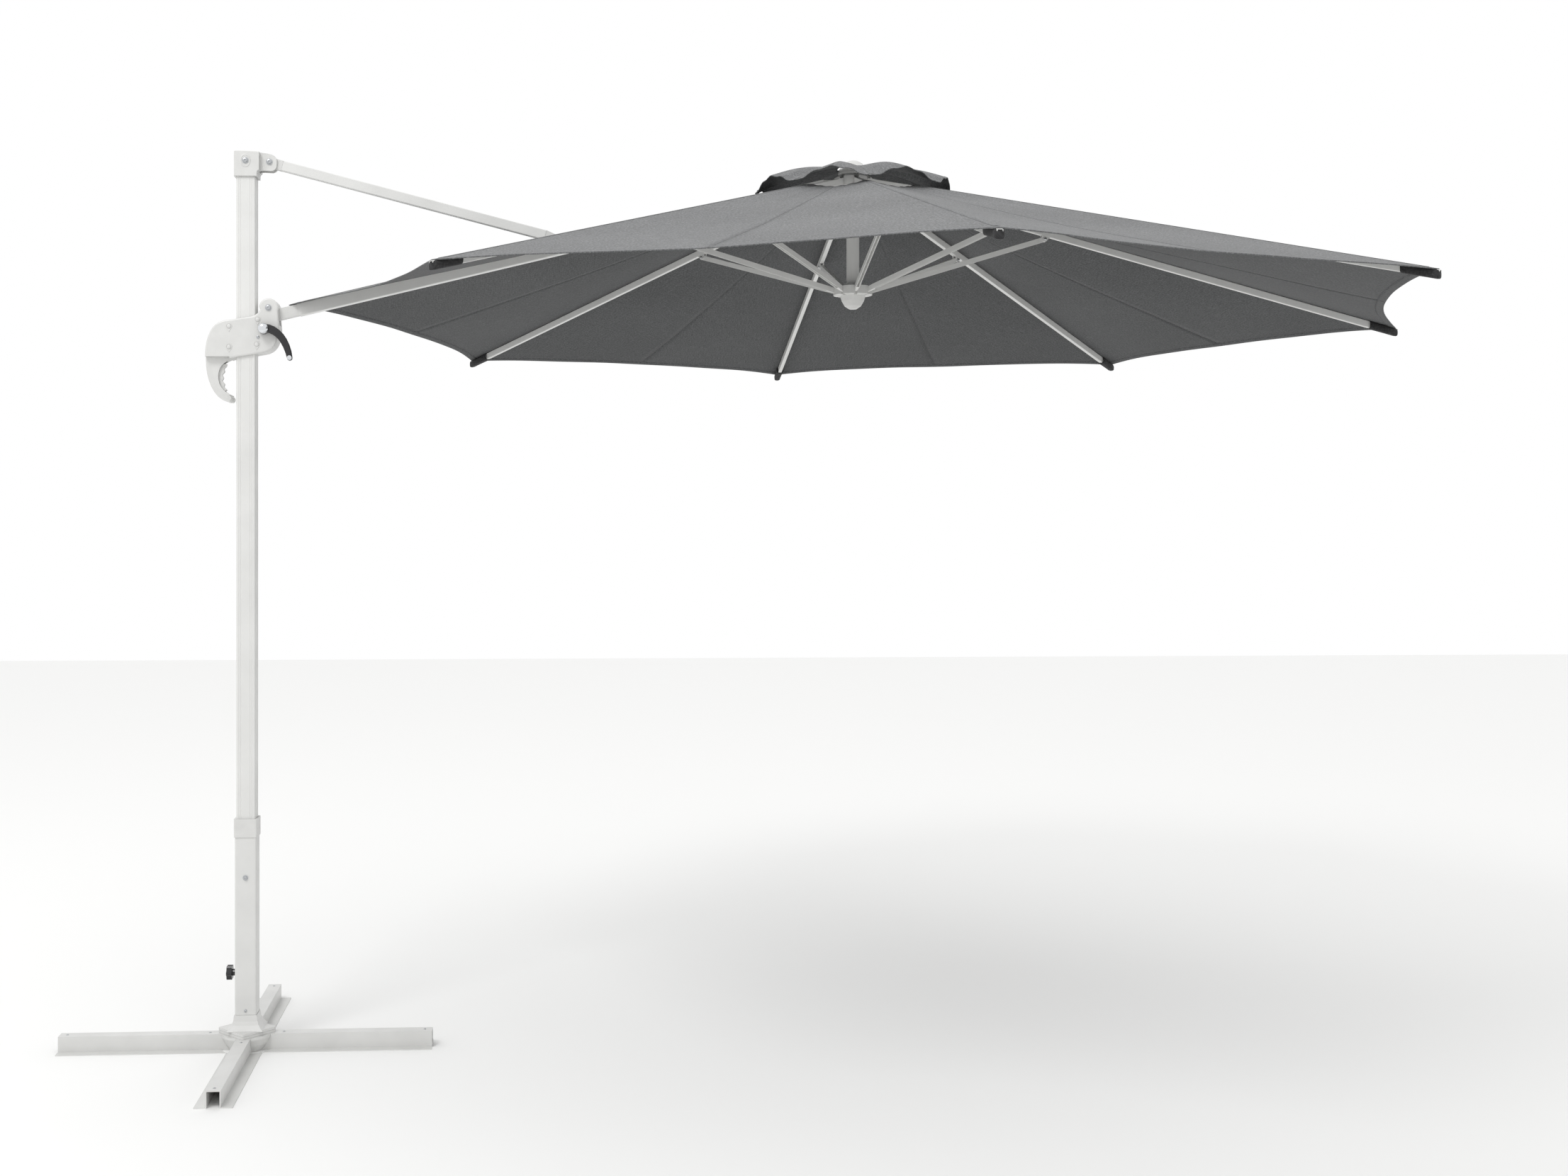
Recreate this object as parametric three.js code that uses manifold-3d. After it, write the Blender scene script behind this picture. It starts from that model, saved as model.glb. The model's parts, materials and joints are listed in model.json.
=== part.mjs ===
// Cantilever parasol: octagonal canopy hung from a side mast by a braced arm.
// Millimetres. Origin on the ground under the mast, +Z up, canopy towards +X.
// The arm is also the eighth rib of the canopy: folding turns the crown under it.
import * as THREE from "three";
import { mergeVertices } from "three/addons/utils/BufferGeometryUtils.js";
import Module from "manifold-3d";

const wasm = await Module();
wasm.setup();

// ---- Driving dimensions -------------------------------------------------
const RUN = 0.5; // running gap between parts that move past each other
const SEAT = 0.3; // gap between parts that are fixed together

const LEG_REACH = 485; // mast axis to the end of a base leg
const LEG_HEIGHT = 42;
const LEG_CROWN = 36; // width of a leg's raised top
const LEG_FLANGE = 92; // width of a leg over its flanges
const LEG_WALL = 2.5;
const HUB_CORE = 31.5; // radius of the base casting between the legs
const HUB_RIM = 66;
const PLATE_SIDE = 108; // square plates on the base, corners over the legs
const PLATE_T = 6.5;

const STUB_R = 22;
const STUB_WALL = 2.5;
const STUB_LENGTH = 350;
const FOOT_HEIGHT = 38;
const FOOT_FLARE = 46; // half side of the foot where it flares out
const POLE_TOP = 573;
const COLLAR_TOP = 607;
const MAST = 50; // mast tube, outside
const POLE_WALL = 2.5;
const POLE_FIT = 0.5; // between the mast and the lower pole that takes it
const POLE = MAST + 2 * (POLE_WALL + POLE_FIT); // lower pole, outside
const MAST_WALL = 2;
const MAST_CORNER = 4;
const MAST_LAP = 150; // length of mast inside the lower pole
const GROOVE = 0.8; // depth of the ribbing in the mast's faces
const KNOB_Z = 200;
const KNOB_R = 20;
const POLE_BOLT_R = 3;
const HEAD_BOLT_R = 4;

const PIVOT_X = 60; // both hinges of the linkage stand this far from the mast axis
const HEAD_PIVOT_Z = 2330;
const SLIDER_PIVOT_Z = 1945;
const LINK = 782; // strut hinge to saddle hinge, equal to slider hinge to saddle hinge
const PIN_R = 4;

const STRUT_H = 26;
const STRUT_W = 20;
const ARM_H = 33;
const ARM_W = 26;
const TUBE_WALL = 1.5;
const ARM_SLOPE = 13.8; // degrees above level, parasol open
const SADDLE_RISE = 26; // saddle hinge above the arm's centreline
const HEEL_OUT = 72; // bare length of the arm's heel before the tube starts

const SLIDER_W = 66; // slider over both shells
const HANDLE_W = 30;
const BOSS_R = 25;
const CRANK_X = -10.6; // crank shaft from the slider hinge
const CRANK_Z = -57;
const SPOOL_R = 12;

const CANOPY_R = 1500; // post axis to a canopy corner
const CORNER_CLEAR = 44; // keeps the canopy's corner off the slider
const ARM_REACH = CANOPY_R + CORNER_CLEAR; // slider hinge to crown hinge, along the arm
const RIM_Z = 1904; // rib tips
const HUB_R = 44; // post axis to the rib hinges, and to the stretcher hinges
const RIB_H = 18;
const RIB_W = 12;
const RIB_WALL = 1.2;
const LUG_AT = 500; // rib hinge to stretcher lug, along the rib
const LUG_DROP = 16; // stretcher hinge below the rib's centreline
const STRETCHER_H = 13;
const STRETCHER_W = 10;
const POST_R = 17;
const POST_WALL = 1.6;
const FABRIC = 0.8;
const HEM_CURVE = 65; // how far a hem bows in between two corners
const VENT_R = 280;
const VENT_HOLE_R = 215;

// ---- Places worked out from them ----------------------------------------
const rad = THREE.MathUtils.degToRad;
const linkDrop = (HEAD_PIVOT_Z - SLIDER_PIVOT_Z) / 2;
const saddleX = PIVOT_X + Math.sqrt(LINK ** 2 - linkDrop ** 2);
const saddleZ = SLIDER_PIVOT_Z + linkDrop;
const strutSlope = Math.asin(linkDrop / LINK);
const armSlope = rad(ARM_SLOPE);
// the arm's centreline, in the arm's own frame, lies this far from the slider hinge
const armAxisZ =
  linkDrop * Math.cos(armSlope) - (saddleX - PIVOT_X) * Math.sin(armSlope) - SADDLE_RISE;
const saddleAt =
  (saddleX - PIVOT_X) * Math.cos(armSlope) + linkDrop * Math.sin(armSlope);
const crownX =
  PIVOT_X + ARM_REACH * Math.cos(armSlope) - armAxisZ * Math.sin(armSlope) + HUB_R;
const crownZ =
  SLIDER_PIVOT_Z + ARM_REACH * Math.sin(armSlope) + armAxisZ * Math.cos(armSlope);
const ribSlope = Math.atan2(crownZ - RIM_Z, CANOPY_R - HUB_R);
const ribLength = Math.hypot(crownZ - RIM_Z, CANOPY_R - HUB_R);
const lugOut = LUG_AT * Math.cos(ribSlope) - LUG_DROP * Math.sin(ribSlope);
const lugDown = LUG_AT * Math.sin(ribSlope) + LUG_DROP * Math.cos(ribSlope);
const stretcherLength = Math.hypot(lugOut, lugDown);
const stretcherSlope = Math.atan2(lugDown, lugOut);
const lowerHubZ = crownZ - 2 * lugDown;
const plateZ = LEG_HEIGHT + SEAT;
const footZ = plateZ + PLATE_T + RUN;
const poleZ = footZ + PLATE_T + FOOT_HEIGHT;
const mastZ = POLE_TOP - MAST_LAP;
const HEAD_TOP = HEAD_PIVOT_Z + 26;
const HEAD_BOTTOM = HEAD_PIVOT_Z - 41;

// ---- Materials ----------------------------------------------------------
const coat = (color, roughness, metalness = 0) =>
  new THREE.MeshStandardMaterial({ color, roughness, metalness });
const whitePaint = coat(0xe8e8e6, 0.4);
const whitePlastic = coat(0xe2e2e0, 0.5);
const blackPlastic = coat(0x18181a, 0.35);
const steel = coat(0xb9bbbd, 0.3, 1);
const chrome = coat(0xd8dadc, 0.1, 1);
const greyFabric = coat(0x77787a, 0.95);
const rubber = coat(0x2a2a2c, 0.8);

// ---- Shape helpers ------------------------------------------------------
function toSolid(geometry) {
  const bare = geometry.index ? geometry.toNonIndexed() : geometry.clone();
  for (const name of Object.keys(bare.attributes))
    if (name !== "position") bare.deleteAttribute(name);
  const merged = mergeVertices(bare, 1e-4);
  return new wasm.Manifold(
    new wasm.Mesh({
      numProp: 3,
      vertProperties: merged.attributes.position.array,
      triVerts: new Uint32Array(merged.index.array),
    }),
  );
}

function toGeometry(solid) {
  const mesh = solid.getMesh();
  const geometry = new THREE.BufferGeometry();
  geometry.setAttribute("position", new THREE.BufferAttribute(mesh.vertProperties, 3));
  geometry.setIndex(new THREE.BufferAttribute(mesh.triVerts, 1));
  const flat = geometry.toNonIndexed();
  flat.computeVertexNormals();
  return flat;
}

function named(name, solid, material) {
  const mesh = new THREE.Mesh(toGeometry(solid), material);
  mesh.name = name;
  return mesh;
}

const join = (...solids) => solids.reduce((a, b) => a.add(b));
const cut = (solid, ...tools) => tools.reduce((a, b) => a.subtract(b), solid);

// A box given by its lowest and highest corners.
function block(x0, x1, y0, y1, z0, z1) {
  const box = new THREE.BoxGeometry(x1 - x0, y1 - y0, z1 - z0);
  return toSolid(box.translate((x0 + x1) / 2, (y0 + y1) / 2, (z0 + z1) / 2));
}

// A round bar from `from` to `to` along one axis.
function bar(axis, radius, from, to, [a, b] = [0, 0], sides = 16) {
  const rod = new THREE.CylinderGeometry(radius, radius, to - from, sides);
  const mid = (from + to) / 2;
  if (axis === "x") rod.rotateZ(Math.PI / 2).translate(mid, a, b);
  if (axis === "y") rod.translate(a, mid, b);
  if (axis === "z") rod.rotateX(Math.PI / 2).translate(a, b, mid);
  return toSolid(rod);
}

// A bar that cuts a hole: its flats, not its corners, stand at the radius.
const bore = (axis, radius, from, to, at, sides = 10) =>
  bar(axis, radius / Math.cos(Math.PI / sides), from, to, at, sides);

const spun = (points, sides = 24) =>
  toSolid(
    new THREE.LatheGeometry(points.map(([r, z]) => new THREE.Vector2(r, z)), sides).rotateX(
      Math.PI / 2,
    ),
  );

// An outline in X and Z, given depth along Y between y0 and y1.
function slab(shape, y0, y1, bevel = 0, curveSegments = 6) {
  const geometry = new THREE.ExtrudeGeometry(shape, {
    depth: y1 - y0 - 2 * bevel,
    bevelEnabled: bevel > 0,
    bevelThickness: bevel,
    bevelSize: bevel,
    bevelOffset: -bevel,
    bevelSegments: 2,
    curveSegments,
  });
  return toSolid(geometry.rotateX(Math.PI / 2).translate(0, y1 - bevel, 0));
}

// An outline in X and Y, given height along Z between z0 and z1.
function prism(shape, z0, z1, curveSegments = 4) {
  const geometry = new THREE.ExtrudeGeometry(shape, {
    depth: z1 - z0,
    bevelEnabled: false,
    curveSegments,
  });
  return toSolid(geometry.translate(0, 0, z0));
}

// An outline in Y and Z, given length along X between x0 and x1.
function beam(shape, x0, x1) {
  const geometry = new THREE.ExtrudeGeometry(shape, {
    depth: x1 - x0,
    bevelEnabled: false,
    curveSegments: 1,
  });
  return toSolid(geometry.rotateX(Math.PI / 2).rotateZ(Math.PI / 2).translate(x0, 0, 0));
}

function roundedRect(width, height, radius, into = new THREE.Shape(), cx = 0, cy = 0) {
  const [w, h] = [width / 2, height / 2];
  into.moveTo(cx + w - radius, cy - h);
  into.absarc(cx + w - radius, cy - h + radius, radius, -Math.PI / 2, 0);
  into.absarc(cx + w - radius, cy + h - radius, radius, 0, Math.PI / 2);
  into.absarc(cx - w + radius, cy + h - radius, radius, Math.PI / 2, Math.PI);
  into.absarc(cx - w + radius, cy - h + radius, radius, Math.PI, Math.PI * 1.5);
  into.closePath();
  return into;
}

// A tube's section: rounded rectangle with a smaller one as its hole.
function tubeSection(width, height, wall, radius, cy = 0) {
  const shape = roundedRect(width, height, radius, new THREE.Shape(), 0, cy);
  const inner = Math.max(radius - wall, 0.4);
  shape.holes.push(
    roundedRect(width - 2 * wall, height - 2 * wall, inner, new THREE.Path(), 0, cy),
  );
  return shape;
}

function polygon(points) {
  return new THREE.Shape(points.map(([x, y]) => new THREE.Vector2(x, y)));
}

// ---- Base ---------------------------------------------------------------
function legShape(grow = 0) {
  const [c, f] = [LEG_CROWN / 2 + grow, LEG_FLANGE / 2 + grow];
  const [h, t] = [LEG_HEIGHT + grow, LEG_WALL];
  if (grow) return polygon([[-c, -1], [c, -1], [c, h], [-c, h]]);
  return polygon([[-f, 0], [t - c, 0], [t - c, h - t], [c - t, h - t], [c - t, 0], [f, 0],
    [f, t], [c, t], [c, h], [-c, h], [-c, t], [-f, t]]);
}

function baseLeg(name, degrees) {
  const leg = beam(legShape(), HUB_CORE + SEAT, LEG_REACH);
  const mitre = prism(polygon([[0, 0], [HUB_RIM * 2, HUB_RIM * 2], [0, HUB_RIM * 2]]), -1, 60);
  const gap = SEAT / Math.SQRT2;
  // the flanges stop at the hub, so that a slab can lie on their whole length
  const crown = block(0, 2 * HUB_RIM, -LEG_CROWN / 2, LEG_CROWN / 2, -2, LEG_HEIGHT);
  const hubWay = bore("z", HUB_RIM + SEAT, -1, LEG_WALL + 1, [0, 0], 32);
  const trimmed = cut(
    leg,
    mitre.translate([0, -gap, 0]),
    mitre.mirror([0, 1, 0]).translate([0, gap, 0]),
    cut(hubWay, crown),
  );
  const mesh = named(name, trimmed, whitePaint);
  mesh.rotation.z = rad(degrees);
  return mesh;
}

function baseHub() {
  const bowl = spun([[0, 0], [HUB_CORE + 12, 0], [HUB_RIM - 8, LEG_HEIGHT * 0.45],
    [HUB_RIM, LEG_HEIGHT - 6], [HUB_RIM, LEG_HEIGHT], [0, LEG_HEIGHT]], 32);
  const lanes = [0, 90, 180, 270].map((degrees) =>
    beam(legShape(SEAT), HUB_CORE, HUB_RIM + 5).rotate([0, 0, degrees]),
  );
  return named("base_hub", cut(bowl, ...lanes), whitePaint);
}

// Both square plates round the stub, turned so that their corners lie over the legs.
function plateSolid(z) {
  const plate = prism(roundedRect(PLATE_SIDE, PLATE_SIDE, 6), z, z + PLATE_T, 3);
  return plate.rotate([0, 0, 45]);
}

function basePlate() {
  const plate = cut(plateSolid(plateZ), bore("z", STUB_R + SEAT, 0, 90, [0, 0], 28));
  return named("base_plate", plate, whitePaint);
}

function stubTube() {
  const [inner, top] = [STUB_R - STUB_WALL, plateZ + STUB_LENGTH];
  const tube = spun([[inner, plateZ], [STUB_R, plateZ], [STUB_R, top - 2], [STUB_R - 1, top],
    [inner, top], [inner, plateZ]], 28);
  return named("stub_tube", tube, steel);
}

// ---- Mast ---------------------------------------------------------------
function poleFoot() {
  const half = POLE / 2;
  const flare = [0, 0.15, 0.35, 0.6, 1].map((t) => {
    const side = half + 1.5 + (FOOT_FLARE - half - 1.5) * (1 - t) ** 2.2;
    return [side * Math.SQRT2, footZ + PLATE_T - 1 + t * (FOOT_HEIGHT + 1)];
  });
  const skirt = spun([[0, flare[0][1]], ...flare, [0, poleZ]], 4);
  const way = bore("z", STUB_R + RUN, footZ - 1, poleZ + 1, [0, 0], 28);
  return named("pole_foot", cut(join(plateSolid(footZ), skirt.rotate([0, 0, 45])), way),
    whitePaint);
}

function lowerPole() {
  const tube = prism(tubeSection(POLE, POLE, POLE_WALL, 4), poleZ + SEAT, POLE_TOP);
  const boltHole = bore("y", POLE_BOLT_R + SEAT, -POLE, POLE, [0, mastZ + 30]);
  const knobHole = bore("x", 4 + SEAT, -POLE, 0, [0, KNOB_Z]);
  return named("lower_pole", cut(tube, boltHole, knobHole), whitePaint);
}

function poleCollar() {
  const outside = POLE + 5;
  const lip = 14;
  const shell = prism(roundedRect(outside, outside, 5), POLE_TOP - lip, COLLAR_TOP);
  const seat = POLE + 2 * SEAT;
  const pocket = prism(roundedRect(seat, seat, 4), POLE_TOP - lip - 1, POLE_TOP + SEAT);
  const way = prism(roundedRect(MAST + 2 * SEAT, MAST + 2 * SEAT, MAST_CORNER), 0, COLLAR_TOP + 1);
  return named("pole_collar", cut(shell, pocket, way), whitePlastic);
}

// One face of the mast has two pairs of shallow grooves near its edges.
function mastSection() {
  const half = MAST / 2;
  const corner = MAST_CORNER;
  const shape = new THREE.Shape();
  for (let face = 0; face < 4; face++) {
    const turn = (x, y) => {
      const [c, s] = [[1, 0], [0, 1], [-1, 0], [0, -1]][face];
      return [x * c - y * s, x * s + y * c];
    };
    const start = turn(half, corner - half);
    if (face === 0) shape.moveTo(...start);
    else shape.lineTo(...start);
    for (const y of [-17, -12, 12, 17]) {
      shape.lineTo(...turn(half, y - 1.5));
      shape.lineTo(...turn(half - GROOVE, y));
      shape.lineTo(...turn(half, y + 1.5));
    }
    shape.lineTo(...turn(half, half - corner));
    const bow = corner * (1 - Math.SQRT1_2);
    shape.lineTo(...turn(half - bow, half - bow));
  }
  shape.closePath();
  const inside = MAST - 2 * MAST_WALL;
  shape.holes.push(roundedRect(inside, inside, 2, new THREE.Path()));
  return shape;
}

function mastTube() {
  const tube = prism(mastSection(), mastZ, HEAD_TOP - 14, 1);
  const poleBolt = bore("y", POLE_BOLT_R + SEAT, -MAST, MAST, [0, mastZ + 30]);
  const headBolt = bore("y", HEAD_BOLT_R + SEAT, -MAST, MAST, [0, HEAD_PIVOT_Z]);
  return named("mast_tube", cut(tube, poleBolt, headBolt), whitePaint);
}

function stubBush() {
  const across = POLE - 2 * POLE_WALL - 2 * SEAT;
  const top = plateZ + STUB_LENGTH - 10;
  const body = prism(roundedRect(across, across, 2), top - 30, top);
  const way = bore("z", STUB_R + RUN, top - 31, top + 1, [0, 0], 28);
  return named("stub_bush", cut(body, way), blackPlastic);
}

function throughBolt(name, radius, halfWidth, x, z) {
  const head = radius * 1.8;
  const shank = bar("y", radius, -halfWidth - SEAT, halfWidth + SEAT, [x, z], 10);
  const front = bar("y", head, -halfWidth - SEAT - radius, -halfWidth - SEAT, [x, z], 16);
  const back = bar("y", head, halfWidth + SEAT, halfWidth + SEAT + radius, [x, z], 16);
  return named(name, join(shank, front, back), steel);
}

function clampStud() {
  const stud = bar("x", 4, -41, -STUB_R - SEAT, [0, KNOB_Z], 12);
  return named("clamp_stud", stud, steel);
}

function clampKnob() {
  const lobes = 6;
  const star = new THREE.Shape();
  const steps = lobes * 6;
  for (let i = 0; i < steps; i++) {
    const turn = (i / steps) * Math.PI * 2;
    const radius = KNOB_R * (0.9 + 0.1 * Math.cos(lobes * turn));
    const [y, z] = [radius * Math.cos(turn), radius * Math.sin(turn)];
    if (i) star.lineTo(y, z);
    else star.moveTo(y, z);
  }
  star.closePath();
  const grip = beam(star, -52, -38).translate([0, 0, KNOB_Z]);
  const neck = bar("x", 9, -38, -POLE / 2 - RUN, [0, KNOB_Z], 16);
  const way = bore("x", 4 + SEAT, -42, 0, [0, KNOB_Z]);
  return named("clamp_knob", cut(join(grip, neck), way), blackPlastic);
}

// Side outline of the head casting, from the mast's back to its nose over the strut.
function headShape() {
  const [back, nose] = [-30, PIVOT_X + 19];
  const neck = MAST / 2 + 5;
  const shape = new THREE.Shape();
  shape.moveTo(back, HEAD_BOTTOM);
  shape.lineTo(neck, HEAD_BOTTOM);
  shape.lineTo(neck, HEAD_BOTTOM + 8);
  shape.quadraticCurveTo(neck, HEAD_BOTTOM + 18, neck + 14, HEAD_BOTTOM + 18);
  shape.lineTo(nose - 14, HEAD_PIVOT_Z - 24);
  shape.quadraticCurveTo(nose, HEAD_PIVOT_Z - 22, nose, HEAD_PIVOT_Z - 6);
  shape.lineTo(nose, HEAD_PIVOT_Z + 6);
  shape.quadraticCurveTo(nose - 2, HEAD_TOP - 8, nose - 22, HEAD_TOP - 5);
  shape.quadraticCurveTo(neck, HEAD_TOP, back + 4, HEAD_TOP);
  shape.quadraticCurveTo(back, HEAD_TOP, back, HEAD_TOP - 4);
  shape.closePath();
  return shape;
}

function mastHead() {
  const half = 31;
  const body = slab(headShape(), -half, half, 2);
  const room = MAST / 2 + SEAT;
  const socket = block(-room, room, -room, room, HEAD_BOTTOM - 1, HEAD_TOP - 13);
  const slot = STRUT_W / 2 + RUN;
  const mouth = block(MAST / 2 + 8, PIVOT_X + 40, -slot, slot, HEAD_BOTTOM - 5, HEAD_TOP - 7);
  const slim = STRUT_W / 2 + 6;
  const cheek = (side) =>
    block(MAST / 2 + 10, PIVOT_X + 40, Math.min(side * slim, side * 60), Math.max(side * slim, side * 60),
      HEAD_BOTTOM - 5, HEAD_TOP + 5);
  const holes = [
    bore("y", HEAD_BOLT_R + SEAT, -60, 60, [0, HEAD_PIVOT_Z]),
    bore("y", PIN_R + SEAT, -60, 60, [PIVOT_X, HEAD_PIVOT_Z]),
  ];
  return named("mast_head", cut(body, socket, mouth, cheek(-1), cheek(1), ...holes), whitePlastic);
}

// ---- Strut: drawn level from its hinge, then turned down onto the saddle --
function strutParts() {
  const group = new THREE.Group();
  const [tubeStart, tubeEnd] = [34, LINK - 36];
  const tube = beam(tubeSection(STRUT_W, STRUT_H, TUBE_WALL, 2), tubeStart, tubeEnd);
  group.add(named("strut_tube", tube, whitePaint));

  const inW = STRUT_W / 2 - TUBE_WALL - SEAT;
  const inH = STRUT_H / 2 - TUBE_WALL - SEAT;
  const lap = 45;
  const heelShape = new THREE.Shape();
  heelShape.absarc(0, 0, STRUT_H / 2, Math.PI / 2, Math.PI * 1.5);
  heelShape.lineTo(tubeStart - SEAT, -STRUT_H / 2);
  heelShape.lineTo(tubeStart - SEAT, STRUT_H / 2);
  heelShape.closePath();
  const heel = join(
    slab(heelShape, -STRUT_W / 2, STRUT_W / 2),
    block(tubeStart - 1, tubeStart + lap, -inW, inW, -inH, inH),
  );
  const pin = bore("y", PIN_R + SEAT, -30, 30, [0, 0]);
  group.add(named("strut_heel", cut(heel, pin), whitePlastic));

  const tipR = 7;
  const tipShape = new THREE.Shape();
  tipShape.moveTo(tubeEnd + SEAT, STRUT_H / 2);
  tipShape.lineTo(tubeEnd + SEAT, -STRUT_H / 2);
  tipShape.lineTo(LINK - 24, -tipR);
  tipShape.lineTo(LINK, -tipR);
  tipShape.absarc(LINK, 0, tipR, -Math.PI / 2, Math.PI / 2);
  tipShape.closePath();
  const tip = join(
    slab(tipShape, -STRUT_W / 2 + 1, STRUT_W / 2 - 1),
    block(tubeEnd - lap, tubeEnd + 1, -inW, inW, -inH, inH),
  );
  const eye = bore("y", PIN_R + SEAT, -30, 30, [LINK, 0]);
  group.add(named("strut_tip", cut(tip, eye), whitePlastic));
  group.position.set(PIVOT_X, 0, HEAD_PIVOT_Z);
  group.rotation.y = strutSlope;
  return group;
}

// ---- Arm: drawn level from the slider hinge, then raised to its slope -----
function armTube() {
  const [start, end] = [HEEL_OUT, ARM_REACH - 34];
  const tube = beam(tubeSection(ARM_W, ARM_H, TUBE_WALL, 2, armAxisZ), start, end);
  const tongueR = RIB_H / 2;
  const tongue = new THREE.Shape();
  tongue.moveTo(end - 40, armAxisZ + ARM_H / 2 - TUBE_WALL);
  tongue.lineTo(end - 40, armAxisZ - ARM_H / 2 + TUBE_WALL);
  tongue.lineTo(end, armAxisZ - ARM_H / 2 + TUBE_WALL);
  tongue.lineTo(ARM_REACH, armAxisZ - tongueR);
  tongue.absarc(ARM_REACH, armAxisZ, tongueR, -Math.PI / 2, Math.PI / 2);
  tongue.lineTo(end, armAxisZ + ARM_H / 2 - TUBE_WALL);
  tongue.closePath();
  const hole = bore("y", 2 + SEAT, -30, 30, [ARM_REACH, armAxisZ], 8);
  // the stretcher lug hangs where a rib's lug would, seen from the crown hinge
  const down = stretcherSlope - armSlope;
  const lugX = ARM_REACH - stretcherLength * Math.cos(down);
  const lugZ = armAxisZ - stretcherLength * Math.sin(down);
  const under = armAxisZ - ARM_H / 2;
  return cut(
    join(tube, slab(tongue, -RIB_W / 2, RIB_W / 2), lugPair(lugX, lugZ, under + 0.6)),
    hole,
  );
}

// Two cheeks with rounded ends, hanging from z = `top` to a hinge at (x, z).
function lugPair(x, z, top) {
  const radius = 7;
  const cheek = new THREE.Shape();
  cheek.moveTo(x - radius - 5, top);
  cheek.lineTo(x - radius, z);
  cheek.absarc(x, z, radius, Math.PI, 2 * Math.PI);
  cheek.lineTo(x + radius + 5, top);
  cheek.closePath();
  const inner = 3.5 + SEAT;
  const outer = RIB_W / 2;
  const hole = bore("y", 2 + SEAT, -20, 20, [x, z], 8);
  return cut(join(slab(cheek, -outer, -inner), slab(cheek, inner, outer),
    block(x - radius - 5, x + radius + 5, -outer, outer, top, top + 0.8)), hole);
}

function armHeel() {
  const half = ARM_H / 2 - TUBE_WALL - SEAT;
  const [low, high] = [armAxisZ - half, armAxisZ + half];
  const shape = new THREE.Shape();
  shape.absarc(0, 0, 14, Math.PI * 0.25, Math.PI);
  shape.lineTo(-14, low * 0.35);
  shape.quadraticCurveTo(-12, low, 8, low);
  shape.lineTo(HEEL_OUT + 60, low);
  shape.lineTo(HEEL_OUT + 60, high);
  shape.lineTo(24, high);
  shape.closePath();
  const halfW = ARM_W / 2 - TUBE_WALL - SEAT;
  const pin = bore("y", PIN_R + SEAT, -30, 30, [0, 0]);
  return named("arm_heel", cut(slab(shape, -halfW, halfW), pin), whitePlastic);
}

// A U-shaped saddle over the arm with two ears for the strut's tip.
function armSaddle() {
  const [x, z] = [saddleAt, armAxisZ + SADDLE_RISE];
  const top = armAxisZ + ARM_H / 2 + SEAT;
  const long = 30;
  const outer = ARM_W / 2 + SEAT + 2;
  const ear = new THREE.Shape();
  ear.moveTo(x - long, top);
  ear.lineTo(x + long, top);
  ear.quadraticCurveTo(x + 14, top + 3, x + 9, z + 2);
  ear.absarc(x, z, 9, 0.2, Math.PI - 0.2);
  ear.quadraticCurveTo(x - 14, top + 3, x - long, top);
  const inner = STRUT_W / 2 - 1 + RUN;
  const skirt = block(x - long, x + long, -outer, outer, armAxisZ, top + 1.2);
  const armWay = block(x - long - 1, x + long + 1, -ARM_W / 2 - SEAT, ARM_W / 2 + SEAT,
    armAxisZ - 1, top);
  const pin = bore("y", PIN_R + SEAT, -30, 30, [x, z]);
  return named(
    "arm_saddle",
    cut(join(cut(skirt, armWay), slab(ear, -outer, -inner), slab(ear, inner, outer)), pin),
    whitePlastic,
  );
}

function armParts() {
  const group = new THREE.Group();
  group.add(named("arm_tube", armTube(), whitePaint), armHeel(), armSaddle());
  const outer = ARM_W / 2 + SEAT + 2;
  group.add(throughBolt("saddle_bolt", PIN_R, outer, saddleAt, armAxisZ + SADDLE_RISE));
  group.position.set(PIVOT_X, 0, SLIDER_PIVOT_Z);
  group.rotation.y = -armSlope;
  return group;
}

// ---- Slider: drawn around its hinge with the arm --------------------------
// Side outline: boss over the arm hinge, body round the mast, hooked handle behind.
function sliderShape() {
  const shape = new THREE.Shape();
  shape.moveTo(-96, -31);
  shape.lineTo(-42, -22);
  shape.quadraticCurveTo(-26, -16, -22, -4);
  shape.absarc(0, 0, BOSS_R, Math.PI * 0.95, -0.3, true);
  shape.lineTo(27, -56);
  shape.quadraticCurveTo(25, -112, -16, -118);
  shape.lineTo(-91, -131);
  shape.bezierCurveTo(-121, -138, -133, -156, -133, -179);
  shape.bezierCurveTo(-133, -206, -118, -219, -99, -228);
  shape.absarc(-104, -238, 9, 1.1, -1.9, true);
  shape.bezierCurveTo(-146, -238, -165, -186, -165, -135);
  shape.bezierCurveTo(-165, -86, -154, -51, -128, -38);
  shape.quadraticCurveTo(-112, -31, -96, -31);
  return shape;
}

// Finger side of the release lever: four shallow waves down the handle.
function leverShape(waves = 4) {
  const shape = new THREE.Shape();
  shape.moveTo(-131, -146);
  shape.lineTo(-112, -146);
  const steps = waves * 5;
  for (let i = 1; i <= steps; i++) {
    const t = i / steps;
    const middle = -114 - 9 * Math.sin(Math.PI * t);
    shape.lineTo(middle + 2.2 * Math.cos(t * waves * Math.PI * 2), -150 - 64 * t);
  }
  shape.lineTo(-117, -217);
  shape.quadraticCurveTo(-139, -200, -139, -176);
  shape.quadraticCurveTo(-139, -158, -131, -146);
  return shape;
}

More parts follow.
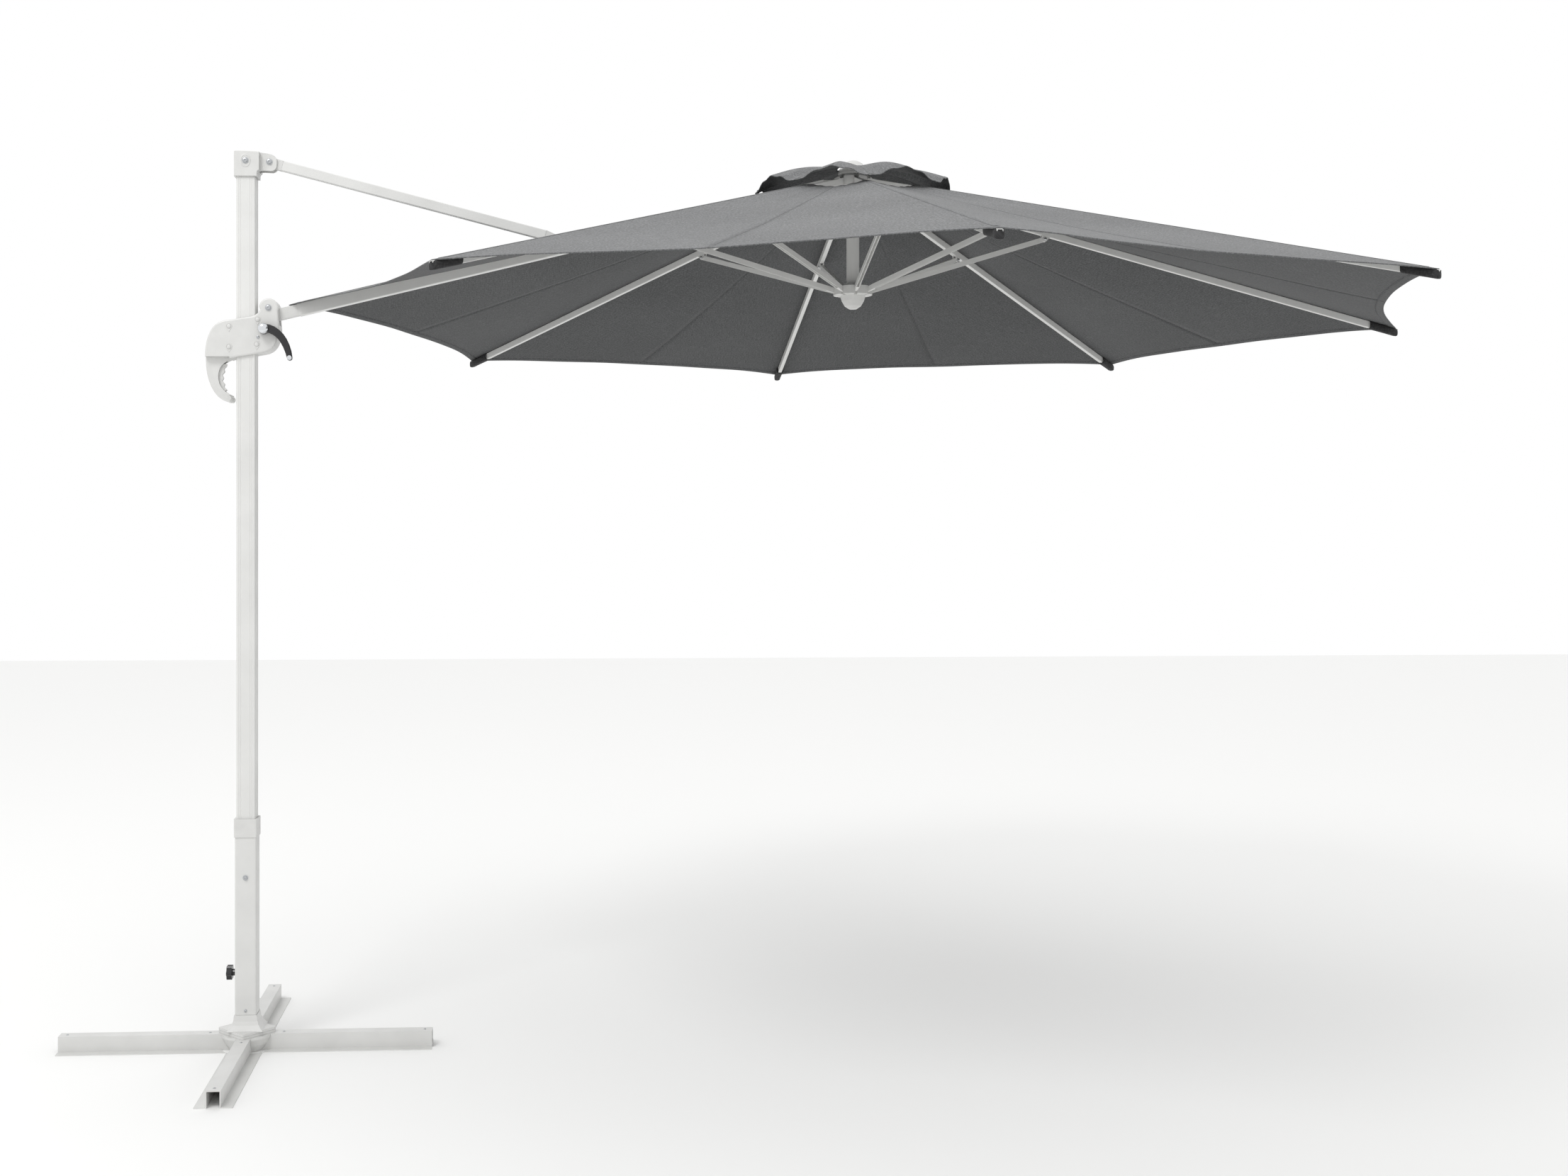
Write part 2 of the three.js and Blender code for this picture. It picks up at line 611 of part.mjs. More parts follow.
function sliderShell(name, side) {
  const half = SLIDER_W / 2;
  const whole = slab(sliderShape(), -half, half, 4, 8);
  const keep = side < 0 ? block(-250, 100, -half - 1, -SEAT / 2, -300, 60)
    : block(-250, 100, SEAT / 2, half + 1, -300, 60);
  const thin = HANDLE_W / 2;
  const handleCut = [-1, 1].map((s) =>
    block(-250, -101, Math.min(s * thin, s * 60), Math.max(s * thin, s * 60), -300, -128));
  const room = MAST / 2 + RUN;
  const mastWay = block(-PIVOT_X - room, -PIVOT_X + room, -room, room, -300, 100);
  const pocket = ARM_W / 2 + RUN;
  const armWay = block(-17, 80, -pocket, pocket, -44, 60);
  const spoolRoom = bore("y", SPOOL_R + 2, -14, 14, [CRANK_X, CRANK_Z], 20);
  const shaftHole = bore("y", 5 + RUN, -60, 0, [CRANK_X, CRANK_Z], 12);
  const pinHole = bore("y", PIN_R + SEAT, -60, 60, [0, 0]);
  const shoeWay = block(-116, -80, -9, 9, -84, -60);
  const leverWay = block(-148, -100, -9, 9, -219, -138);
  return named(
    name,
    cut(whole.intersect(keep), ...handleCut, mastWay, armWay, spoolRoom, shaftHole, pinHole,
      shoeWay, leverWay),
    whitePlastic,
  );
}

function releaseLever() {
  const lever = slab(leverShape(), -7.5, 7.5);
  return named("release_lever", lever, whitePlastic);
}

function brakeShoe() {
  const face = -PIVOT_X - MAST / 2 - RUN - SEAT;
  const shoe = join(
    block(face - 8, face, -8, 8, -83, -61),
    block(face - 20, face - 7, -5, 5, -77, -67),
  );
  return named("brake_shoe", shoe, rubber);
}

function cordSpool() {
  const drum = join(
    bar("y", SPOOL_R, -12.5, -10.5, [CRANK_X, CRANK_Z], 20),
    bar("y", SPOOL_R - 4, -10.6, 10.6, [CRANK_X, CRANK_Z], 12),
    bar("y", SPOOL_R, 10.5, 12.5, [CRANK_X, CRANK_Z], 20),
    bar("y", 5, -SLIDER_W / 2 - 4, -12, [CRANK_X, CRANK_Z], 12),
  );
  return named("cord_spool", drum, steel);
}

// A sickle-shaped blade that hangs from a round hub and sweeps out to its tip.
function crankHandle() {
  const near = -SLIDER_W / 2 - 4 - SEAT;
  const blade = new THREE.Shape();
  const [hx, hz, tx, tz] = [CRANK_X, CRANK_Z, CRANK_X + 68, CRANK_Z - 76];
  blade.moveTo(hx + 2, hz + 13);
  blade.bezierCurveTo(hx + 42, hz + 12, hx + 70, hz - 28, tx + 7, tz + 2);
  blade.absarc(tx, tz, 7, 0.2, -Math.PI + 0.4, true);
  blade.bezierCurveTo(hx + 50, hz - 34, hx + 32, hz - 12, hx + 2, hz - 8);
  blade.closePath();
  const hub = bar("y", 14, near - 17, near, [hx, hz], 28);
  const handle = join(slab(blade, near - 15, near - 3, 2.5, 8), hub);
  const knobHole = bore("y", 3 + SEAT, near - 30, near + 5, [tx, tz]);
  return named("crank_handle", cut(handle, knobHole), blackPlastic);
}

function crankGrip() {
  const near = -SLIDER_W / 2 - 4 - SEAT;
  const at = [CRANK_X + 68, CRANK_Z - 76];
  const grip = join(
    bar("y", 3, near - 16, near - 2, at, 12),
    bar("y", 6, near - 20, near - 15 - SEAT, at, 20),
  );
  return named("crank_grip", grip, chrome);
}

function sliderParts() {
  const group = new THREE.Group();
  group.add(
    sliderShell("slider_shell_front", -1),
    sliderShell("slider_shell_back", 1),
    throughBolt("arm_bolt", PIN_R, SLIDER_W / 2, 0, 0),
    releaseLever(),
    brakeShoe(),
    cordSpool(),
    crankHandle(),
    crankGrip(),
  );
  group.position.set(PIVOT_X, 0, SLIDER_PIVOT_Z);
  return group;
}

// ---- Canopy frame: drawn about the post axis, rib hinges at height 0 ------
function hubSlots(width, depthIn, z0, z1) {
  return [...Array(8).keys()].map((k) =>
    block(HUB_R - depthIn, HUB_R + 40, -width / 2, width / 2, z0, z1).rotate([0, 0, 45 * k]),
  );
}

function crownHub() {
  const body = spun([[0, -22], [POST_R + 4, -22], [POST_R + 8, -14], [HUB_R + 8, -12],
    [HUB_R + 8, 12], [HUB_R - 4, 20], [0, 20]], 24);
  return named("crown_hub", cut(body, ...hubSlots(RIB_W + 2 * SEAT, RIB_H / 2 + 1.5, -40, 30)),
    whitePlastic);
}

function crownCap() {
  const r = HUB_R - 6;
  const cap = spun([[0, 20 + SEAT], [r, 20 + SEAT], [r + 2, 26], [r - 2, 40], [r - 12, 52],
    [r - 24, 59], [0, 62]], 24);
  return named("crown_cap", cap, whitePlastic);
}

function postTube(bottom) {
  const inner = POST_R - POST_WALL;
  const top = -22 - SEAT;
  const tube = spun([[inner, bottom], [POST_R, bottom], [POST_R, top], [inner, top],
    [inner, bottom]], 24);
  return named("post_tube", tube, whitePaint);
}

function lowerHub(z) {
  const guide = POST_R - POST_WALL - RUN;
  const body = spun([[0, z - 49], [10, z - 48], [22, z - 40], [30, z - 26], [34, z - 13],
    [HUB_R + 8, z - 11], [HUB_R + 8, z + 11], [POST_R + 6, z + 14], [POST_R + 6, z + 22],
    [guide, z + 22], [guide, z + 80], [0, z + 80]], 24);
  const slots = hubSlots(7 + 2 * SEAT, STRETCHER_H / 2 + 2, -40, 12.5);
  return named("lower_hub", cut(body, ...slots.map((s) => s.translate([0, 0, z]))), whitePlastic);
}

// A rib drawn level from its hinge: rounded tongue, hollow tube, stretcher lug.
function ribSolid() {
  const tube = beam(tubeSection(RIB_W, RIB_H, RIB_WALL, 1.6), 22, ribLength);
  const tongue = new THREE.Shape();
  tongue.absarc(0, 0, RIB_H / 2, Math.PI / 2, Math.PI * 1.5);
  tongue.lineTo(30, -RIB_H / 2);
  tongue.lineTo(30, RIB_H / 2);
  tongue.closePath();
  const hole = bore("y", 2 + SEAT, -30, 30, [0, 0], 8);
  return cut(
    join(tube, slab(tongue, -RIB_W / 2, RIB_W / 2), lugPair(LUG_AT, -LUG_DROP, -RIB_H / 2)),
    hole,
  );
}

// A stretcher drawn level from its lug hinge: channel with a flat eye at each end.
function stretcherSolid() {
  const [w, h] = [STRETCHER_W / 2, STRETCHER_H / 2];
  const t = RIB_WALL;
  const channel = polygon([[-w, -h], [w, -h], [w, h], [w - t, h], [w - t, t - h], [t - w, t - h],
    [t - w, h], [-w, h]]);
  const inset = 20;
  const eye = new THREE.Shape();
  eye.absarc(0, 0, h, Math.PI / 2, Math.PI * 1.5);
  eye.lineTo(inset + 6, -h);
  eye.lineTo(inset + 6, h);
  eye.closePath();
  const end = cut(slab(eye, -3.5, 3.5), bore("y", 2 + SEAT, -20, 20, [0, 0], 8));
  return join(
    beam(channel, inset, stretcherLength - inset),
    end,
    end.mirror([1, 0, 0]).translate([stretcherLength, 0, 0]),
  );
}

function ribMesh(k, solid) {
  const pivot = new THREE.Group();
  const mesh = named(`rib_${k}`, solid, whitePaint);
  mesh.position.x = HUB_R;
  mesh.rotation.y = ribSlope;
  pivot.add(mesh);
  pivot.rotation.z = ribTurn(k);
  return pivot;
}

function stretcherMesh(k, solid) {
  const pivot = new THREE.Group();
  const mesh = named(`stretcher_${k}`, solid, whitePaint);
  mesh.position.set(HUB_R + lugOut, 0, -lugDown);
  mesh.rotation.y = Math.PI - stretcherSlope;
  pivot.add(mesh);
  pivot.rotation.z = ribTurn(k);
  return pivot;
}

// Ribs are counted from the arm, which stands in the place of rib 8.
const ribTurn = (k) => Math.PI + (Math.PI / 4) * k;

// ---- Canopy fabric --------------------------------------------------------
// Height of the fabric's underside over a ridge, at radius r from the post axis.
// It falls away on both sides, so it clears the corners of what it lies on.
const LIFT = 0.6;
const SHED = 0.17; // most that it falls, for each millimetre away from a ridge
const ribTop = (r) =>
  (HUB_R - r) * Math.tan(ribSlope) + RIB_H / 2 / Math.cos(ribSlope) + LIFT + (RIB_W / 2) * SHED;
const armTop = (r) =>
  (HUB_R - r) * Math.tan(armSlope) + ARM_H / 2 / Math.cos(armSlope) + LIFT + (ARM_W / 2) * SHED;
const ridge = (k) => (k % 8 === 0 ? armTop : ribTop);

// Half a gore in plan, from its ridge (y = 0) to the middle of the panel.
function halfGore(inner, outer, bow) {
  const half = Math.PI / 8;
  const mid = outer * Math.cos(half) - bow;
  const edge = [Math.cos(half), Math.sin(half)];
  const shape = new THREE.Shape();
  shape.moveTo(inner, 0);
  shape.lineTo(outer, 0);
  const chord = outer * Math.sin(half);
  for (let i = 1; i <= 4; i++) {
    const along = chord * (1 - i / 4);
    const out = mid + bow * (along / chord) ** 2;
    shape.lineTo(out * edge[0] + along * edge[1], out * edge[1] - along * edge[0]);
  }
  shape.lineTo(inner * edge[0], inner * edge[1]);
  shape.closePath();
  return shape;
}

// A level half gore is sheared so that it climbs to the ridge and to its neighbour's ridge.
function slopedHalf(shape, side, thickness, ridgeAt, midAt, r0, r1) {
  const flat = prism(shape, 0, thickness);
  const su = (ridgeAt(r1) - ridgeAt(r0)) / (r1 - r0);
  const base = ridgeAt(r0) - su * r0;
  const half = Math.PI / 8;
  const sv = (midAt - base - su * r1 * Math.cos(half) ** 2) / (r1 * Math.cos(half) * Math.sin(half));
  const shear = [1, 0, su, 0, 0, 1, sv, 0, 0, 0, 1, 0, 0, 0, base, 1];
  const solid = flat.transform(shear);
  return side > 0 ? solid : solid.mirror([0, 1, 0]);
}

function goreSolid(k) {
  const own = ridge(k);
  const ventTop = (r) => 38 + (r - 40) * ((armTop(VENT_R) + 4 - 38) / (VENT_R - 40));
  const parts = [];
  for (const side of [1, -1]) {
    const next = ridge((k + side + 8) % 8);
    const middle = (own(CANOPY_R) + next(CANOPY_R)) / 2;
    parts.push(slopedHalf(halfGore(VENT_HOLE_R, CANOPY_R, HEM_CURVE), side, FABRIC, own, middle,
      VENT_HOLE_R, CANOPY_R));
    parts.push(slopedHalf(halfGore(HUB_R, VENT_R, 8), side, FABRIC, ventTop,
      ventTop(VENT_R), HUB_R, VENT_R));
  }
  const stitch = [VENT_R - 26, VENT_R - 14];
  const at = (stitch[0] + stitch[1]) / 2;
  parts.push(block(...stitch, -3, 3, own(at) + FABRIC / 2, ventTop(at) + FABRIC / 2));
  const half = Math.PI / 8;
  let gore = join(...parts);
  for (const side of [1, -1]) {
    const keep = block(-100, CANOPY_R + 50, -2000, -SEAT / 2, -900, 300).rotate([
      0, 0, (half * 180) / Math.PI]);
    gore = gore.intersect(side > 0 ? keep : keep.mirror([0, 1, 0]));
  }
  if (k % 8 === 0) {
    const out = crownX - saddleX;
    gore = gore.subtract(block(out - 42, out + 60, -ARM_W / 2 - 6, ARM_W / 2 + 6, -400, 100));
  }
  return gore;
}

function canopyParts() {
  const group = new THREE.Group();
  const guideEnd = -2 * lugDown + 22 + SEAT;
  group.add(crownHub(), crownCap(), postTube(guideEnd), lowerHub(-2 * lugDown));
  const [rib, stretcher] = [ribSolid(), stretcherSolid()];
  for (let k = 1; k <= 7; k++) group.add(ribMesh(k, rib));
  for (let k = 1; k <= 8; k++) group.add(stretcherMesh(k, stretcher));
  for (let k = 1; k <= 8; k++) {
    const gore = named(`canopy_gore_${k}`, goreSolid(k), greyFabric);
    gore.rotation.z = ribTurn(k);
    group.add(gore);
  }
  group.position.set(crownX, 0, crownZ);
  return group;
}

// ---- Whole parasol --------------------------------------------------------
const parasol = new THREE.Group();
parasol.name = "cantilever_parasol";
parasol.add(
  baseHub(),
  baseLeg("leg_right", 0),
  baseLeg("leg_back", 90),
  baseLeg("leg_left", 180),
  baseLeg("leg_front", 270),
  basePlate(),
  stubTube(),
  stubBush(),
  poleFoot(),
  lowerPole(),
  poleCollar(),
  throughBolt("pole_bolt", POLE_BOLT_R, POLE / 2, 0, mastZ + 30),
  clampStud(),
  clampKnob(),
  mastTube(),
  mastHead(),
  throughBolt("head_bolt", HEAD_BOLT_R, 31, 0, HEAD_PIVOT_Z),
  throughBolt("strut_bolt", PIN_R, STRUT_W / 2 + 6, PIVOT_X, HEAD_PIVOT_Z),
  strutParts(),
  sliderParts(),
  armParts(),
  canopyParts(),
);

export default parasol;
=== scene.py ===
"""The looks of a cantilever parasol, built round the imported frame. Metres, +Z up."""
import json
import math

import bmesh
import bpy
from mathutils import Matrix, Vector, noise


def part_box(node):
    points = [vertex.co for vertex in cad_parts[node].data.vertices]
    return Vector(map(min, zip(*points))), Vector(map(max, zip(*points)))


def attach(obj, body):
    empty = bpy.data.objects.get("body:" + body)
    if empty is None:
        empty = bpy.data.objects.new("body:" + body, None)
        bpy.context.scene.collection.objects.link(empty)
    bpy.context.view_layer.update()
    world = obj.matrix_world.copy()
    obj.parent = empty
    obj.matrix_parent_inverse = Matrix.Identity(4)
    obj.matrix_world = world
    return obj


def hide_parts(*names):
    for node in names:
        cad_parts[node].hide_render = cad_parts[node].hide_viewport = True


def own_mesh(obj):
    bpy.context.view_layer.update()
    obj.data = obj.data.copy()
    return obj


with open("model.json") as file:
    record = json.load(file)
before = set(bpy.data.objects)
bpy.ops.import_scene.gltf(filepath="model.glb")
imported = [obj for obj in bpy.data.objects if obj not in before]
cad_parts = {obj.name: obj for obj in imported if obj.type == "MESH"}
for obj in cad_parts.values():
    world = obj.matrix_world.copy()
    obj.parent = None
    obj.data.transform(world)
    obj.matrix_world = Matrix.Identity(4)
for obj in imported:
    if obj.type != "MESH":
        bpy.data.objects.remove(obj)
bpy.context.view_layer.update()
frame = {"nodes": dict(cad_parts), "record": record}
JOINTS = {joint["name"]: joint for joint in frame["record"]["behaviour"]["joints"]}
SLOTS = {part["node"]: part["material_slot"] for part in frame["record"]["subparts"]}
MM = 0.001

# ---- Camera: comes first, before anything is made ---------------------------
eye = bpy.data.cameras.new("eye")
eye.sensor_width = 36
eye.lens = 40.06
eye.shift_x = 0.0907
eye.shift_y = -0.0362
eye.clip_end = 60
camera = bpy.data.objects.new("camera", eye)
camera.location = (0.768, -4.646, 1.360)
camera.rotation_euler = (math.radians(90), 0, math.radians(-3.354))
bpy.context.scene.collection.objects.link(camera)
bpy.context.scene.camera = camera

# ---- Sizes that the fabric and the fixings share with the frame -------------
GORES = range(1, 9)  # gore 8 lies on the arm, the others on ribs 1 to 7
HALF_GORE = math.radians(22.5)
# the crown's hinges stand on a circle round the post, rib 4's right across from the arm's
HINGE_R = (JOINTS["rib_4_fold"]["pos_m"][0] - JOINTS["canopy_fold"]["pos_m"][0]) / 2
CROWN = Vector(JOINTS["canopy_fold"]["pos_m"]) + Vector((HINGE_R, 0, 0))
CANOPY_R = 1500 * MM  # post to a canopy corner
RIM_Z = 1904 * MM
HEM_BOW = 65 * MM  # how far a hem bows in between two corners
VENT_HOLE_R = 215 * MM
FLAP_R = 264 * MM
FLAP_IN_R = 43 * MM
FLAP_BOW = -10 * MM  # the flap's edge is nearly round
CLOTH = 0.8 * MM  # the sheet as drawn; real canopy polyester is 0.3 mm
RIB_SLOPE = math.atan2(CROWN.z - RIM_Z, CANOPY_R - HINGE_R)
ARM_SLOPE = math.radians(13.8)
RIB_RISE = 9 * MM / math.cos(RIB_SLOPE) + 1.7 * MM  # rib hinge line to the cloth over it
ARM_RISE = 16.5 * MM / math.cos(ARM_SLOPE) + 2.9 * MM
SAG = 20 * MM  # most that a panel hangs below a flat one
SLACK = 3.2 * MM  # most that it wanders from an even hang
PULL, PULL_FADE = 1.4 * MM, 220 * MM  # tension lines at the vent, and how far out they die
PLEAT, PLEAT_FADE = 1.6 * MM, 160 * MM  # gathers at the hem, and how far in they die
RIDGE_BEND = 4 * MM  # the cloth bends round a rib, not sharply
FLAP_TOP = 38 * MM  # the flap's inner edge over the crown's hinges
FLAP_CLEAR = 4 * MM  # its rim over the arm's ridge line
FLAP_PUFF, FLAP_LIFT, FLAP_CURL = 16 * MM, 25 * MM, 5 * MM
SADDLE = Vector(JOINTS["arm_hinge"]["pos_m"])
SLIT_IN = CROWN.x - SADDLE.x - 84 * MM  # slit that lets the strut reach the arm and turn
SLIT_OUT = CROWN.x - SADDLE.x + 60 * MM
SLIT_HALF = 19 * MM
SEAM_HALF = 6 * MM
SEAM_LIFT = CLOTH + 0.2 * MM
SEAM_END = 22 * MM  # a ridge seam stops this far short of the corner
SEAM_GAP = 14 * MM  # and this far short of the slit
HEAD_FACE = 31 * MM  # the mast head's outer faces, from the middle


# ---- Materials ---------------------------------------------------------------
SLUB_LONG, SLUB_WIDE = 45 * MM, 3 * MM
FLECK = 5 * MM
DYE_DRIFT = 350 * MM


def linear(hex_colour):
    """An sRGB hex colour as the linear RGBA that a shader wants."""
    channels = [int(hex_colour[i:i + 2], 16) / 255 for i in (1, 3, 5)]
    return [c / 12.92 if c <= 0.04045 else ((c + 0.055) / 1.055) ** 2.4
            for c in channels] + [1.0]


def node(tree, kind, inputs=None, **settings):
    """Adds one node, with its settings, and its inputs set to values or linked to sockets."""
    made = tree.nodes.new(kind)
    for name, value in settings.items():
        setattr(made, name, value)
    for name, value in (inputs or {}).items():
        if isinstance(value, bpy.types.NodeSocket):
            tree.links.new(value, made.inputs[name])
        else:
            made.inputs[name].default_value = value
    return made


def finish(name):
    """An empty material with its shader: returns the material, its tree and the shader."""
    made = bpy.data.materials.new(name)
    made.use_nodes = True
    made.node_tree.nodes.clear()
    shader = node(made.node_tree, "ShaderNodeBsdfPrincipled")
    node(made.node_tree, "ShaderNodeOutputMaterial", {"Surface": shader.outputs["BSDF"]})
    return made, made.node_tree, shader


def powder_coat(name, light, dull):
    """Polyester powder coat, baked on: it flows out slightly lumpy, like orange peel,
    and is satin, so that edges catch a soft line of light."""
    made, tree, shader = finish(name)
    place = node(tree, "ShaderNodeTexCoord").outputs["Object"]
    # film thickness wanders over a hand's width, and dust settles the same way
    drift = node(tree, "ShaderNodeTexNoise", {"Vector": place, "Scale": 1 / 0.09, "Detail": 4.0})
    tone = node(tree, "ShaderNodeValToRGB", {"Fac": drift.outputs["Fac"]})
    tone.color_ramp.elements[0].position = 0.3
    tone.color_ramp.elements[0].color = linear(dull)
    tone.color_ramp.elements[1].position = 0.65
    tone.color_ramp.elements[1].color = linear(light)
    # orange peel is 2 to 3 mm across
    peel = node(tree, "ShaderNodeTexNoise", {"Vector": place, "Scale": 1 / 0.0028, "Detail": 2.0})
    rough = node(tree, "ShaderNodeMapRange", {"Value": drift.outputs["Fac"], "From Min": 0.3,
                 "From Max": 0.7, "To Min": 0.46, "To Max": 0.34})
    bump = node(tree, "ShaderNodeBump", {"Height": peel.outputs["Fac"], "Distance": 0.00012,
                "Strength": 0.5})
    tree.links.new(tone.outputs["Color"], shader.inputs["Base Color"])
    tree.links.new(rough.outputs["Result"], shader.inputs["Roughness"])
    tree.links.new(bump.outputs["Normal"], shader.inputs["Normal"])
    shader.inputs["IOR"].default_value = 1.52
    return made


def moulded_plastic(name, light, dull, gloss, grain):
    """Injection-moulded ABS or nylon. The mould's eroded face leaves a fine grain, and the
    flow of the melt a faint cloudiness."""
    made, tree, shader = finish(name)
    place = node(tree, "ShaderNodeTexCoord").outputs["Object"]
    flow = node(tree, "ShaderNodeTexNoise", {"Vector": place, "Scale": 1 / 0.035, "Detail": 3.0,
                "Distortion": 0.6})
    tone = node(tree, "ShaderNodeValToRGB", {"Fac": flow.outputs["Fac"]})
    tone.color_ramp.elements[0].position = 0.25
    tone.color_ramp.elements[0].color = linear(dull)
    tone.color_ramp.elements[1].position = 0.7
    tone.color_ramp.elements[1].color = linear(light)
    # real grain is about 0.3 mm: drawn at three times that, so that it shows
    pits = node(tree, "ShaderNodeTexVoronoi", {"Vector": place, "Scale": 1 / 0.0009})
    bump = node(tree, "ShaderNodeBump", {"Height": pits.outputs["Distance"],
                "Distance": 0.00008, "Strength": grain})
    rough = node(tree, "ShaderNodeMapRange", {"Value": flow.outputs["Fac"], "From Min": 0.3,
                 "From Max": 0.7, "To Min": gloss + 0.06, "To Max": gloss - 0.04})
    tree.links.new(tone.outputs["Color"], shader.inputs["Base Color"])
    tree.links.new(rough.outputs["Result"], shader.inputs["Roughness"])
    tree.links.new(bump.outputs["Normal"], shader.inputs["Normal"])
    shader.inputs["IOR"].default_value = 1.54
    return made


def plated_metal(name, light, dull, gloss, scratch):
    """Plated steel. Bright zinc keeps a cloudy spangle and the drawing lines of the wire;
    chrome is clear, with only hairline polishing marks."""
    made, tree, shader = finish(name)
    place = node(tree, "ShaderNodeTexCoord").outputs["Object"]
    spangle = node(tree, "ShaderNodeTexVoronoi", {"Vector": place, "Scale": 1 / 0.004})
    cloud = node(tree, "ShaderNodeTexNoise", {"Vector": place, "Scale": 1 / 0.012, "Detail": 5.0})
    tone = node(tree, "ShaderNodeMix", {0: cloud.outputs["Fac"], 6: linear(dull), 7: linear(light)},
                data_type="RGBA")
    rough = node(tree, "ShaderNodeMapRange", {"Value": spangle.outputs["Distance"],
                 "From Min": 0.0, "From Max": 0.6, "To Min": gloss, "To Max": gloss + 0.1})
    lines = node(tree, "ShaderNodeMapping", {"Vector": place, "Scale": (2500.0, 60.0, 2500.0)})
    drawn = node(tree, "ShaderNodeTexNoise", {"Vector": lines.outputs["Vector"], "Scale": 1.0})
    bump = node(tree, "ShaderNodeBump", {"Height": drawn.outputs["Fac"], "Distance": 0.00004,
                "Strength": scratch})
    tree.links.new(tone.outputs[2], shader.inputs["Base Color"])
    tree.links.new(rough.outputs["Result"], shader.inputs["Roughness"])
    tree.links.new(bump.outputs["Normal"], shader.inputs["Normal"])
    shader.inputs["Metallic"].default_value = 1.0
    return made


def brake_rubber(name):
    """Moulded EPDM: nearly black and dry, with a dusty bloom where it rubs."""
    made, tree, shader = finish(name)
    place = node(tree, "ShaderNodeTexCoord").outputs["Object"]
    bloom = node(tree, "ShaderNodeTexNoise", {"Vector": place, "Scale": 1 / 0.006, "Detail": 6.0})
    tone = node(tree, "ShaderNodeMix", {0: bloom.outputs["Fac"], 6: linear("#1b1b1c"),
                7: linear("#3a3a3b")}, data_type="RGBA")
    bump = node(tree, "ShaderNodeBump", {"Height": bloom.outputs["Fac"], "Distance": 0.0002,
                "Strength": 0.4})
    tree.links.new(tone.outputs[2], shader.inputs["Base Color"])
    tree.links.new(bump.outputs["Normal"], shader.inputs["Normal"])
    shader.inputs["Roughness"].default_value = 0.82
    return made


def canopy_polyester(name, deep, thread, glint, weave_depth, fuzz):
    """Woven 180 g polyester, yarn-dyed: threads of slightly different grey lie beside each
    other, so the cloth is flecked. It reads the cloth's own UV map, in metres, so that warp
    and weft follow each panel. Thread spacing is 0.4 mm; slubs are drawn 3 mm wide and
    flecks 5 mm, the finest that still show on a canopy 3 m across."""
    made, tree, shader = finish(name)
    cloth = node(tree, "ShaderNodeUVMap", uv_map="cloth").outputs["UV"]
    warp_way = node(tree, "ShaderNodeMapping", {"Vector": cloth,
                    "Scale": (1 / SLUB_LONG, 1 / SLUB_WIDE, 1.0)})
    weft_way = node(tree, "ShaderNodeMapping", {"Vector": cloth,
                    "Scale": (1 / SLUB_WIDE, 1 / SLUB_LONG, 1.0)})
    warp = node(tree, "ShaderNodeTexNoise", {"Vector": warp_way.outputs["Vector"], "Scale": 1.0,
                "Detail": 2.0})
    weft = node(tree, "ShaderNodeTexNoise", {"Vector": weft_way.outputs["Vector"], "Scale": 1.0,
                "Detail": 2.0})
    woven = node(tree, "ShaderNodeMath", {0: warp.outputs["Fac"], 1: weft.outputs["Fac"]},
                 operation="ADD")
    flecks = node(tree, "ShaderNodeTexNoise", {"Vector": cloth, "Scale": 1 / FLECK,
                  "Detail": 3.0, "Roughness": 0.75})
    # dye and dust drift slowly across a panel
    drift = node(tree, "ShaderNodeTexNoise", {"Vector": cloth, "Scale": 1 / DYE_DRIFT,
                 "Detail": 3.0})
    mixed = node(tree, "ShaderNodeMath", {0: flecks.outputs["Fac"], 1: 0.62},
                 operation="MULTIPLY")
    threads = node(tree, "ShaderNodeMath", {0: woven.outputs["Value"], 1: 0.16,
                   2: mixed.outputs["Value"]}, operation="MULTIPLY_ADD")
    shade = node(tree, "ShaderNodeMath", {0: drift.outputs["Fac"], 1: 0.09,
                 2: threads.outputs["Value"]}, operation="MULTIPLY_ADD")
    tone = node(tree, "ShaderNodeValToRGB", {"Fac": shade.outputs["Value"]})
    tone.color_ramp.elements[0].position = 0.405
    tone.color_ramp.elements[0].color = linear(deep)
    tone.color_ramp.elements[1].position = 0.635
    tone.color_ramp.elements[1].color = linear(glint)
    middle = tone.color_ramp.elements.new(0.515)
    middle.color = linear(thread)
    bump = node(tree, "ShaderNodeBump", {"Height": woven.outputs["Value"],
                "Distance": weave_depth, "Strength": 0.45})
    tree.links.new(tone.outputs["Color"], shader.inputs["Base Color"])
    tree.links.new(bump.outputs["Normal"], shader.inputs["Normal"])
    shader.inputs["Roughness"].default_value = 0.88
    shader.inputs["IOR"].default_value = 1.45
    shader.inputs["Sheen Weight"].default_value = fuzz
    shader.inputs["Sheen Roughness"].default_value = 0.5
    return made


